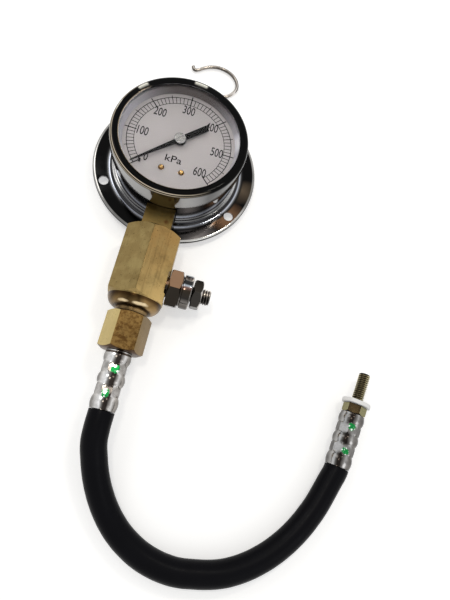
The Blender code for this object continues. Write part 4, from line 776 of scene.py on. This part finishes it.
def joined(parts):
    """Several separate shells in one bmesh."""
    result = bmesh.new()
    for bm in parts:
        mesh = mesh_from(bm)
        result.from_mesh(mesh)
        bpy.data.meshes.remove(mesh)
    return result


def hexagon(flats, turn, outline, rounding=0.2, steps=96):
    """A bar with six softened edges, turned down to an outline; turn is a corner's angle from X in degrees."""
    bm = bmesh.new()
    bmesh.ops.create_circle(bm, cap_ends=True, segments=6, radius=flats / 2 / cos(pi / 6))
    first = bm.verts[:][0].co
    offset = radians(turn) - atan2(first.y, first.x)
    bmesh.ops.rotate(bm, verts=bm.verts, cent=(0, 0, 0), matrix=Matrix.Rotation(offset, 3, "Z"))
    bmesh.ops.bevel(bm, geom=bm.verts[:], offset=rounding, affect="VERTICES", segments=3, profile=0.5,
                    material=-1)
    heights = [height for _, height in outline]
    return carve(extruded(bm, min(heights) - 1, max(heights) + 1), solid(outline, steps), "INTERSECT")


def chamfered(flats, low, high, below, above, narrow=0.0):
    """Outline that takes a hexagon's corners off at both ends."""
    corner, rim = flats / sqrt(3) + 0.3, flats / 2 - 0.1
    return [(rim, low), (corner, low + below), (corner, high - above), (rim - narrow, high)]


def screw_thread(radius, depth, pitch, low, high, steps=28):
    """A threaded rod between two heights, with chamfered ends."""
    root = radius - depth
    turns = ceil((high - low) / pitch) + 2
    start = low - pitch
    profile = [(root, 0.0), (root, 0.1), (radius - 0.1 * depth, 0.42), (radius, 0.47), (radius, 0.55),
               (radius - 0.1 * depth, 0.6), (root, 0.92), (root, 1.0)]
    bm = bmesh.new()
    verts = [bm.verts.new((r, 0, start + share * pitch)) for r, share in profile]
    edges = [bm.edges.new(pair) for pair in zip(verts, verts[1:])]
    bmesh.ops.spin(bm, geom=verts + edges, axis=(0, 0, 1), cent=(0, 0, 0), dvec=(0, 0, pitch / steps),
                   angle=2 * pi * turns, steps=steps * turns, use_merge=False)
    bmesh.ops.remove_doubles(bm, verts=bm.verts, dist=1e-3)
    for height, outward in ((low - 0.01, -1), (high + 0.01, 1)):
        bmesh.ops.bisect_plane(bm, geom=bm.verts[:] + bm.edges[:] + bm.faces[:], plane_co=(0, 0, height),
                               plane_no=(0, 0, outward), clear_outer=True)
    bmesh.ops.holes_fill(bm, edges=[edge for edge in bm.edges if edge.is_boundary], sides=0)
    slope, crest = depth + 0.15, radius + 0.02
    envelope = [(radius - slope, low), (crest, low + slope), (crest, high - slope), (radius - slope, high)]
    return carve(outwards(bm), solid(envelope, 48), "INTERSECT")


def place(name, bm, matrix, finish_name, body, node=None, slot=None, sharp=32.0):
    """Make bm a named piece: its place goes into its mesh, it rides on a body and stands for a node."""
    mesh = mesh_from(outwards(moved(bm, matrix)), name)
    mesh.shade_smooth()
    mesh.set_sharp_from_angle(angle=radians(sharp))
    mesh.materials.append(finish(finish_name))
    return adopt(bpy.data.objects.new(name, mesh), body, node, slot or finish_name)


def adopt(piece, body, node, slot):
    """Link a piece, and tell the frame its body, its node and its slot."""
    bpy.context.collection.objects.link(piece)
    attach(piece, body)
    if node:
        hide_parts(node)
    return piece


def smooth_path(points, count):
    """Evenly spaced points on a Catmull-Rom curve through the given points."""
    padded = [2 * points[0] - points[1]] + points + [2 * points[-1] - points[-2]]
    dense = []
    for p0, p1, p2, p3 in zip(padded, padded[1:], padded[2:], padded[3:]):
        for i in range(20):
            t = i / 20
            dense.append(0.5 * (2 * p1 + (p2 - p0) * t + (2 * p0 - 5 * p1 + 4 * p2 - p3) * t * t
                                + (3 * p1 - p0 - 3 * p2 + p3) * t ** 3))
    dense.append(points[-1])
    lengths = [0.0]
    for a, b in zip(dense, dense[1:]):
        lengths.append(lengths[-1] + (b - a).length)
    result = []
    k = 0
    for i in range(count):
        target = lengths[-1] * i / (count - 1)
        while k < len(dense) - 2 and lengths[k + 1] < target:
            k += 1
        result.append(dense[k].lerp(dense[k + 1], (target - lengths[k]) / (lengths[k + 1] - lengths[k])))
    return result


def tube_curve(name, points, radius, finish_name, sides):
    """A round tube on one open spline through world points in metres."""
    curve = bpy.data.curves.new(name, "CURVE")
    curve.dimensions = "3D"
    curve.bevel_depth = radius
    curve.bevel_resolution = sides
    curve.resolution_u = 6
    curve.use_fill_caps = True
    spline = curve.splines.new("BEZIER")
    spline.bezier_points.add(len(points) - 1)
    for knot, point in zip(spline.bezier_points, points):
        knot.co = point
        knot.handle_left_type = knot.handle_right_type = "AUTO"
    curve.materials.append(finish(finish_name))
    return bpy.data.objects.new(name, curve)


# Stage

# Lamps: name, place, aim, size, power and colour
LAMPS = (("key", (-0.45, 0.35, 0.7), (0.03, -0.03, 0), (0.3, 0.3), 0.9, (1.0, 0.98, 0.95)),
         ("fill", (0.6, -0.45, 0.6), (0.03, -0.05, 0), (0.4, 0.4), 0.5, (0.96, 0.98, 1.0)),
         ("ceiling_right", (0.118, 0.131, 0.4), (0, 0.05, 0.03), (0.03, 0.06), 0.25, (1.0, 0.95, 0.85)),
         ("ceiling_left", (-0.053, -0.033, 0.42), (0, 0.05, 0.03), (0.03, 0.06), 0.25, (1.0, 0.95, 0.85)))


def make_stage():
    """Camera at the photograph's angle, pale floor and soft studio light."""
    scene = bpy.context.scene
    camera = bpy.data.cameras.new("camera")
    camera.sensor_fit = "HORIZONTAL"
    camera.sensor_width = 36.0
    camera.lens = 37.447
    camera.clip_start = 0.01
    viewer = bpy.data.objects.new("camera", camera)
    viewer.location = (0.017936, -0.104965, 0.227751)
    viewer.rotation_euler = [radians(a) for a in (15.15394, -9.83077, 12.98734)]
    scene.collection.objects.link(viewer)
    scene.camera = viewer

    bm = bmesh.new()
    bmesh.ops.create_grid(bm, x_segments=1, y_segments=1, size=3.0)
    lowest = min(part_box(node)[0].z for node in frame["nodes"])
    bmesh.ops.translate(bm, verts=bm.verts, vec=(0, 0, lowest - 0.0001))
    mesh = mesh_from(bm, "floor")
    floor = bpy.data.objects.new("floor", mesh)
    scene.collection.objects.link(floor)
    material, net, shader = new_finish("floor", Base_Color=(0.82, 0.82, 0.82, 1), Roughness=0.9,
                                       Emission_Color=(1, 1, 1, 1), Specular_IOR_Level=0.1)
    net.tree.links.new(net.times(seen_rays(net), 0.42), shader.inputs["Emission Strength"])
    mesh.materials.append(material)

    world = bpy.data.worlds.new("studio")
    world.use_nodes = True
    scene.world = world
    net = Net(world.node_tree)
    light = world.node_tree.nodes["Background"]
    light.inputs["Color"].default_value = (1.0, 1.0, 1.0, 1.0)
    net.tree.links.new(net.span(seen_rays(net), 0.0, 1.0, 0.55, 1.0), light.inputs["Strength"])

    for name, spot, aim, size, power, tint in LAMPS:
        lamp = bpy.data.lights.new(name, "AREA")
        lamp.shape = "RECTANGLE"
        lamp.size, lamp.size_y = size
        lamp.energy = power
        lamp.color = tint
        holder = bpy.data.objects.new(name, lamp)
        holder.location = spot
        holder.rotation_euler = (Vector(aim) - Vector(spot)).to_track_quat("-Z", "Y").to_euler()
        scene.collection.objects.link(holder)
    scene.view_settings.view_transform = "Standard"


def seen_rays(net):
    """One for the rays that show the background: the camera's, mirrored and refracted ones."""
    path = net.add("LightPath")
    both = net.math("ADD", path.outputs["Is Camera Ray"], path.outputs["Is Glossy Ray"])
    return net.math("ADD", both, path.outputs["Is Transmission Ray"], clamp=True)


# Pieces

def make_hose(sizes):
    """The free hose, from the near ferrule's mouth, down onto the table and round to the far ferrule."""
    start = FERRULE_DOWN + mm(sizes.ferrule_length) + GAP
    mouth = STEM @ Vector((0, 0, start))
    ahead = STEM @ Vector((0, 0, start + 1.5))
    end = WORLD @ HOSE_FAR_END
    forward = Vector((sin(FAR_HEADING) * cos(FAR_RISE), cos(FAR_HEADING) * cos(FAR_RISE), sin(FAR_RISE)))
    route = [ahead] + [WORLD @ Vector(p) for p in HOSE_ROUTE] + [end - forward * 1.5 * MM]
    path = [mouth] + smooth_path(route, 30) + [end]
    hose = adopt(tube_curve("hose_rubber", path, sizes.hose_radius, "rubber", 8), "set", "hose", "rubber")
    run = sum((b - a).length for a, b in zip(path, path[1:]))


def make_hook(sizes):
    """Wire hook: an upright eye through the flange's hole and round its rim, then a flat open hook."""
    eye_r = 3.3
    axis = Matrix.Translation(Vector(JOINTS["hook_swing"]["pos_m"])) @ Matrix.Scale(MM, 4)
    eye = [Vector((0, eye_r * cos(a), eye_r * sin(a))) for a in (radians(-18 + 288 * i / 14) for i in range(15))]
    flat = [Vector((x, y, -eye_r)) for x, y in HOOK_ROUTE]
    path = [axis @ p for p in eye + smooth_path([eye[-1]] + flat, 30)[1:]]
    adopt(tube_curve("hook_wire", path, sizes.wire_radius, "hook_nickel", 5), "hook", "hook", "nickel")


def make_shell(sizes):
    """Case, flange and bezel, pressed from sheet and chromed."""
    radius, wall, top = mm(sizes.case_radius), mm(sizes.case_wall), mm(sizes.case_top)
    inner = radius - wall
    outline = [(0, 0)] + arc((radius - 1.6, 1.6), 1.6, -90, 0, 8) + [(radius, top), (inner, top)]
    outline += arc((inner - 0.8, wall + 0.8), 0.8, 0, -90, 4) + [(0, wall)]
    half = 7.4
    window = box((-half, -radius - 2, STEM_HEIGHT - half), (half, -radius * 0.8, STEM_HEIGHT + half))
    place("case_shell", carve(spun(outline, 160), window), GAUGE, "case_chrome", "set", "case", "chrome")

    collar_in, collar_out = radius + GAP, radius + GAP + 0.9
    rim, bead, high = mm(sizes.flange_radius), 1.2, 2.4
    low = high - 1.0
    outline = [(collar_in, low + 0.4), (collar_in, 4.7)] + arc((collar_out - 0.3, 4.4), 0.3, 90, 0, 3)
    outline += arc((collar_out + 1.3, high + 1.3), 1.3, 180, 270, 8)
    outline += arc((rim - bead, bead), bead, 90, -170, 20)
    outline += [(collar_out + 1.5, low), (collar_in + 0.4, low)]
    flange = spun(outline, 192)
    hole = mm(sizes.flange_hole)
    section = [(hole, -1), (hole, high - 0.2), (hole + 0.4, high + 0.2), (hole + 0.4, high + 2)]
    for i in range(3):
        turn = radians(120 * i)
        spot = Vector((sin(turn), cos(turn), 0)) * mm(sizes.flange_hole_circle)
        flange = carve(flange, moved(solid(section, 40), Matrix.Translation(spot)))
    half = 7.3
    flange = carve(flange, box((-half, -rim, STEM_HEIGHT - half), (half, -radius * 0.8, 7)))
    place("flange_plate", flange, GAUGE, "flange_chrome", "set", "flange", "chrome")

    outer, height, mouth = mm(sizes.bezel_radius), mm(sizes.bezel_top), mm(sizes.bezel_mouth)
    wall, roll = 0.7, 1.8
    lip = height - wall
    center = (outer - roll, height - roll)
    outline = [(outer - wall, height - 10.8), (outer - 0.2, height - 10.8), (outer, height - 10.6)]
    outline += arc(center, roll, 0, 90, 14)
    outline += arc((mouth + wall, lip + 0.1), wall - 0.1, 90, 180, 8)
    outline += [(mouth + 0.1, lip), (center[0], lip)] + arc(center, roll - wall, 60, 0, 5)
    place("bezel_ring", spun(outline, 192), GAUGE, "chrome", "set", "bezel")


def make_glazing(sizes):
    """The glass, its gasket and the grey ring between dial and glass."""
    pane, seal, ring = 1.4, 1.9, 2.4
    rim = mm(sizes.case_radius) + GAP - 0.4
    bottom = mm(sizes.bezel_top) - 0.7 - GAP - pane
    place("lens_pane", rod(rim, bottom, bottom + pane, 160), GAUGE, "glass", "set", "lens")
    top = bottom - GAP
    gasket = [(rim - seal, top - 0.8), (rim, top - 0.8), (rim, top), (rim - seal, top)]
    place("gasket_ring", spun(gasket, 160), GAUGE, "rubber", "set", "lens_gasket")
    outer = rim - seal - GAP
    inner = outer - ring
    low = mm(sizes.dial_face) + GAP
    outline = [(inner, low), (outer, low), (outer, top), (inner + 1.2, top)]
    place("spacer_ring", spun(outline, 160), GAUGE, "ring_grey", "set", "inner_ring")


def tick(angle, inner, outer, width, low, high):
    """One line of the scale at a clock angle."""
    bm = box((-width / 2, inner, low), (width / 2, outer, high))
    return moved(bm, Matrix.Rotation(-radians(angle), 4, "Z"))


def words(text, size, spot, narrow, low):
    """Flat lettering on the dial."""
    thick = 0.015
    curve = bpy.data.curves.new("lettering", "FONT")
    curve.body = text
    curve.size = size
    curve.extrude = thick
    curve.offset = 0.006 * size
    curve.resolution_u = 6
    curve.align_x = curve.align_y = "CENTER"
    writing = bpy.data.objects.new("lettering", curve)
    bpy.context.collection.objects.link(writing)
    shaped = writing.evaluated_get(bpy.context.evaluated_depsgraph_get())
    bm = bmesh.new()
    bm.from_mesh(shaped.to_mesh())
    shaped.to_mesh_clear()
    bpy.data.objects.remove(writing)
    bpy.data.curves.remove(curve)
    bmesh.ops.scale(bm, verts=bm.verts, vec=(narrow, 1, 1))
    bmesh.ops.translate(bm, verts=bm.verts, vec=(*spot, low + thick))
    return bm


SCREW_SIDE, SCREW_UP = 4.87, -16.4  # the dial's screws, from its centre
ZERO_STOP = 22.5  # the stop pin's distance from the dial's centre
ZERO_TURN = 133.5  # the pointer's turn at rest, in degrees back from straight up


def make_dial(sizes):
    """Dial plate with its scale and numbers, its two screws and the zero stop."""
    face, radius = mm(sizes.dial_face), mm(sizes.dial_radius)
    dial = spun([(2.0, face - 0.8), (radius, face - 0.8), (radius, face), (2.0, face)], 160)
    for side in (-1, 1):
        hole = Matrix.Translation((side * SCREW_SIDE, SCREW_UP, 0))
        dial = carve(dial, moved(rod(1.0, face - 2, face + 1, 24), hole))
    place("dial_plate", dial, GAUGE, "dial_white", "set", "dial")

    low, high = face + 0.01, face + 0.04
    parts = []
    for r, width in ((25.5, 0.36), (22.0, 0.28)):
        ring = spun([(r - width, low), (r, low), (r, high), (r - width, high)], 120, 270.0)
        parts.append(moved(ring, Matrix.Rotation(radians(-45), 4, "Z")))
    for i in range(61):
        line = (21.3, 27.1, 0.5) if i % 10 == 0 else (22.0, 26.6, 0.34) if i % 5 == 0 else (22.0, 25.5, 0.3)
        parts.append(tick(-135 + 4.5 * i, *line, low, high))
    for i in range(7):
        angle = radians(-135 + 45 * i)
        spot = (18.6 * sin(angle), 18.6 * cos(angle) - 0.1)
        parts.append(words(str(100 * i), 6.7, spot, 0.62, low))
    parts.append(words("kPa", 5.3, (-0.5, -10.5), 1.12, low))
    place("dial_print", joined(parts), GAUGE, "pointer_black", "set", sharp=30)

    base = face + GAP
    dome = [(0, base - 4.0), (0.7, base - 4.0), (0.7, base), (1.5, base)]
    dome += arc((0, base - 0.35), 1.5, 14, 66, 8) + [(0, base + 0.9)]
    for side, name in ((-1, "left"), (1, "right")):
        screw = carve(spun(dome, 40), box((-2, -0.16, base + 0.55), (2, 0.16, base + 2)))
        turn = Matrix.Rotation(radians(35 + 60 * side), 4, "Z")
        spot = Matrix.Translation((side * SCREW_SIDE, SCREW_UP, 0)) @ turn
        place(f"dial_screw_head_{name}", screw, GAUGE @ spot, "polished_brass", "set", f"dial_screw_{name}")

    beside = asin((0.25 + 0.2 + 0.5 + GAP) / ZERO_STOP)
    turn = radians(-ZERO_TURN) - beside
    spot = Matrix.Translation((ZERO_STOP * sin(turn), ZERO_STOP * cos(turn), 0))
    pin = [(0.5, face - 0.8), (0.5, face + 2.2), (0.35, face + 2.4)]
    place("zero_stop", solid(pin, 24), GAUGE @ spot, "pointer_black", "set", "stop_pin")


def make_pointer(sizes):
    """Pointer blade with its tail on a boss, under a slotted chrome cap."""
    low = mm(sizes.dial_face) + 1.7
    tail, reach, shaft = mm(sizes.pointer_tail), mm(sizes.pointer_reach), 0.75
    turned = GAUGE @ Matrix.Rotation(radians(ZERO_TURN), 4, "Z")
    blade = [(-1.6, -tail), (1.6, -tail), (1.36, 0), (1.15, 2.9), (0.25, reach), (-0.25, reach), (-1.15, 2.9),
             (-1.36, 0)]
    bm = bmesh.new()
    bm.faces.new([bm.verts.new((x, y, 0)) for x, y in blade])
    boss = solid([(2.7, low - 0.7), (2.9, low - 0.5), (2.9, low + 0.6), (2.8, low + 0.7)], 64)
    pointer = carve(extruded(bm, low, low + 0.5), boss, "UNION")
    pointer = carve(pointer, rod(shaft, low - 2, low + 3, 24))
    place("pointer_blade", pointer, turned, "pointer_black", "pointer", "pointer")

    base = low + 0.7 + GAP
    top = base + 0.9
    outline = [(2.7, base), (2.8, base + 0.1)] + arc((2.4, top - 0.4), 0.4, 0, 90, 6)
    cap = carve(spun([(0, base), *outline, (0, top)], 64), box((-0.35, -4, top - 0.3), (0.35, 4, top + 1)))
    cap = carve(cap, rod(shaft, base - 1, base + 0.45, 24))
    place("pointer_cap_screw", cap, turned, "cap_chrome", "pointer", "pointer_cap", "chrome")


def make_coupling(sizes):
    """Long brass hexagon with chamfered ends, a bulging shoulder and a spotface for the valve."""
    start, hex_end, end = 44.0, 78.0, 85.3
    rim, shoulder, mouth, socket = 12.9, 12.6, 7.6, 5.1
    flats = mm(sizes.coupling_flats)
    corner = flats / sqrt(3) + 0.5
    chamfer = (flats / sqrt(3) - rim) * tan(radians(30)) + 0.6
    outline = [(rim, start), (corner, start + chamfer), (corner, hex_end - chamfer), (rim, hex_end),
               (shoulder, hex_end + 0.2)]
    rise, fall = end - 1.6 - hex_end - 0.2, shoulder - mouth
    for i in range(1, 17):
        angle = pi / 2 * i / 16
        outline.append((shoulder - fall * (1 - cos(angle)), hex_end + 0.2 + rise * sin(angle)))
    bar = hexagon(flats, 90, outline + [(mouth, end)], 0.25, 128)
    bores = [(6.7, start - 1), (6.7, start + 12), (2.5, start + 12), (2.5, end - 11), (socket, end - 11),
             (socket, end + 1)]
    side = flats / 2
    port = [(1.5, 0.1), (1.5, 4.4), (socket, 4.4), (socket, side - 0.9), (9.2, side - 0.9), (9.4, side - 0.7),
            (9.4, side + 5)]
    bar = carve(carve(bar, solid(bores, 64)), moved(solid(port, 64), SIDEWAYS))
    place("coupling_bar", bar, STEM, "coupling_brass", "set", "coupling", "brass")


def make_valve(sizes):
    """Bleed valve body with its threaded stud and lock nut."""
    start, hex_end, end, stud_end, bore = 13.1, 19.1, 24.2, 33.4, 4.2
    neck = start - 8.4
    ball = neck + 3.6
    depth = 1.41 * 2.5
    flats = mm(sizes.valve_flats)
    body = hexagon(flats, 103, chamfered(flats, start, hex_end, 1.1, 0.9))
    collar = [(7.3, hex_end - 1), (7.3, hex_end + 0.7)]
    collar += arc((8.2 - 0.5, hex_end + 1.2), 0.5, -90, 0, 4) + arc((8.2 - 0.9, end - 0.9), 0.9, 0, 90, 6)
    body = carve(body, spun([(0, hex_end - 1), *collar, (0, end)]), "UNION")
    body = carve(body, rod(4.8, neck, start + 1, 64), "UNION")
    bores = [(1.5, neck - 1), (1.5, ball - depth + 1.5), (bore, ball - depth + 4.2), (bore, end + 1)]
    place("bleed_valve_hexagon", carve(body, solid(bores, 64)), VALVE, "nickel", "set", "bleed_valve_body")

    stud_start = ball + 2.2 + GAP
    stud = carve(screw_thread(3.9, 0.55, 1.25, stud_start, stud_end), rod(1.2, stud_start + 3, stud_end + 1, 32))
    place("bleed_stud", stud, VALVE, "steel", "bleed_screw", "bleed_screw")

    low = end + 2 * GAP
    high = low + 4.4
    flats = mm(sizes.nut_flats)
    nut = hexagon(flats, 96, chamfered(flats, low, high, 1.0, 1.0))
    thread = [(bore, low - 1), (bore, high - 0.2), (4.6, high + 0.2), (4.6, high + 1)]
    place("lock_nut_hexagon", carve(nut, solid(thread, 48)), VALVE, "nut_nickel", "bleed_screw", "lock_nut", "nickel")


def make_adapter(sizes):
    """Lower brass hexagon with its spigot and hose barb."""
    start, end = 85.9, 103.3
    flats = mm(sizes.adapter_flats)
    bar = hexagon(flats, 60 - 7.8, chamfered(flats, start, end, 0.9, 1.3, 0.3), 0.25)
    bar = carve(bar, solid([(4.2, start - 10), (4.8, start - 9.4), (4.8, start + 1)], 48), "UNION")
    bar = carve(bar, solid(barb(end - 1, end + 0.4, 23.6, 1), 32), "UNION")
    bar = carve(bar, rod(1.3, start - 11, end + 26, 24))
    place("adapter_bar", bar, STEM, "adapter_brass", "set", "hose_adapter", "brass")


def barb(foot, start, run, sense):
    """Section of a hose barb: from its foot, three ridges away from start."""
    pitch = (run - 1) / 3
    points = [(2.3, foot)]
    for i in range(3):
        low = start + sense * pitch * i
        points += [(2.3, low), (2.9, low + sense * 0.2), (2.3, low + sense * (pitch - 0.3))]
    return points + [(2.3, start + sense * run)]


def make_ferrule(name, matrix, sizes, material, node):
    """Crimped sleeve: three round bulges, and two waists with flats."""
    radius, run = mm(sizes.ferrule_radius), mm(sizes.ferrule_length)
    waist = radius - 0.7
    stops = (0.0, 0.2, 0.39, 0.58, 0.77, 1.0)
    outline = []
    for k, (low, high) in enumerate(zip(stops, stops[1:])):
        for i in range(12):
            share = i / 12
            swell = 0.5 if k == i == 0 else sin(pi * share) ** 0.7 if k % 2 == 0 else 0.0
            outline.append((waist + (radius - waist) * swell, run * (low + (high - low) * share)))
    bm = spun(outline + [(waist + 0.3, run), (5.2, run), (4.7, run - 0.8), (4.7, 0)])
    for vert in bm.verts:
        share = vert.co.z / run
        away = vert.co.xy.length
        if away < waist - 0.05 or not (0.19 < share < 0.4 or 0.57 < share < 0.78):
            continue
        middle = 0.295 if share < 0.45 else 0.675
        depth = max(0.0, 1 - (abs(share - middle) / 0.1) ** 4)
        angle = (atan2(vert.co.y, vert.co.x) + pi / 8) % (pi / 4) - pi / 8
        flat = (waist - 0.14) / cos(angle)
        vert.co.xy *= (away + (flat - away) * depth) / away
    place(name, bm, matrix, material, "set", node, "nickel")


def make_ferrules(sizes):
    """Both ferrules, each with its own dabs of paint."""
    near = STEM @ Matrix.Translation((0, 0, FERRULE_DOWN))
    make_ferrule("near_ferrule_sleeve", near, sizes, "near_sleeve", "near_ferrule")
    far = FAR @ Matrix.Translation((0, 0, GAP + mm(sizes.ferrule_length))) @ Matrix.Rotation(pi, 4, "X")
    make_ferrule("far_ferrule_sleeve", far, sizes, "far_sleeve", "far_ferrule")


def make_far_end(sizes):
    """The far fitting's hexagon, barb and threaded stud, and its nylon washer."""
    start, hex_end, end = 26.2, 30.4, 46.9
    body = hexagon(10.0, -23, [(4.9, start), (6.1, start + 0.8), (6.1, hex_end)], 0.15)
    body = carve(body, solid(barb(start + 1, start - 0.4, 23.6, -1), 32), "UNION")
    body = carve(body, rod(2.45, hex_end - 1, hex_end + 3, 48), "UNION")
    body = carve(body, screw_thread(2.95, 0.5, 1.0, hex_end + 0.2, end), "UNION")
    bore = [(1.0, 1), (1.0, end - 0.3), (1.4, end + 0.1), (1.4, end + 1)]
    place("far_fitting_body", carve(body, solid(bore, 32)), FAR, "zinc_yellow", "set", "far_fitting")

    low, rim = hex_end + GAP, mm(sizes.washer_radius) - 0.4
    outline = [(3.25, low)] + arc((rim, low + 0.4), 0.4, -90, 0, 4) + arc((rim, low + 1.6), 0.4, 0, 90, 4)
    bm = spun(outline + [(3.25, low + 2.0)])
    for vert in bm.verts:
        away = vert.co.xy.to_3d()
        if away.length > 5:
            shift = noise.noise(away * 0.45) * 0.22 - 0.12
            vert.co.xy *= 1 + shift / away.length
            vert.co.z += noise.noise((away + Vector((0, 0, 7))) * 0.3) * 0.12
    place("seal_washer_ring", bm, FAR, "nylon", "set", "seal_washer")


def finish_hidden_nodes():
    """Give every CAD node that still shows the finish of its slot."""
    for part in frame["record"]["subparts"]:
        name = "stem_brass" if part["node"] == "socket" else part["material_slot"]
        for slot in frame["nodes"][part["node"]].material_slots:
            slot.material = finish(name)


# Add-on

def operator(work, sizes=None):
    """An operator class named and described by its function, with a group of sizes where that takes one."""
    def execute(self, context):
        work(*([getattr(context.scene, sizes)] if sizes else []))
        return {"FINISHED"}
    idname = work.__name__.removeprefix("make_")
    label = idname.replace("_", " ").capitalize()
    return type("GAUGE_OT_" + idname, (bpy.types.Operator,),
                {"__doc__": work.__doc__, "bl_idname": "gauge." + idname, "bl_label": label, "execute": execute})


OPERATORS = [operator(make_stage)]
OPERATORS += [operator(work, "gauge_sizes") for work in (make_shell, make_glazing, make_dial, make_pointer)]
OPERATORS += [operator(work, "fitting_sizes") for work in (make_coupling, make_valve, make_adapter, make_ferrules,
                                                           make_far_end, make_hose, make_hook)]
OPERATORS += [operator(finish_hidden_nodes)]


class GAUGE_PT_sidebar(bpy.types.Panel):
    """The set's pieces and sizes."""

    bl_label = "Fuel pressure gauge set"
    bl_idname = "GAUGE_PT_sidebar"
    bl_space_type = "VIEW_3D"
    bl_region_type = "UI"
    bl_category = "Gauge"

    def draw(self, context):
        for maker in OPERATORS:
            self.layout.operator(maker.bl_idname)
        for group_name in SETTINGS:
            settings = getattr(context.scene, group_name)
            for name in settings.__annotations__:
                self.layout.prop(settings, name)


SETTINGS = {"gauge_sizes": GaugeSizes, "fitting_sizes": FittingSizes, "set_colours": SetColours}
CLASSES = [*SETTINGS.values(), *OPERATORS, GAUGE_PT_sidebar]


def register():
    for item in CLASSES:
        bpy.utils.register_class(item)
    for name, item in SETTINGS.items():
        setattr(bpy.types.Scene, name, bpy.props.PointerProperty(type=item))


def unregister():
    for name in SETTINGS:
        delattr(bpy.types.Scene, name)
    for item in reversed(CLASSES):
        bpy.utils.unregister_class(item)


def main():
    register()
    for maker in OPERATORS:
        area, action = maker.bl_idname.split(".")
        getattr(getattr(bpy.ops, area), action)()


if __name__ == "__main__":
    main()
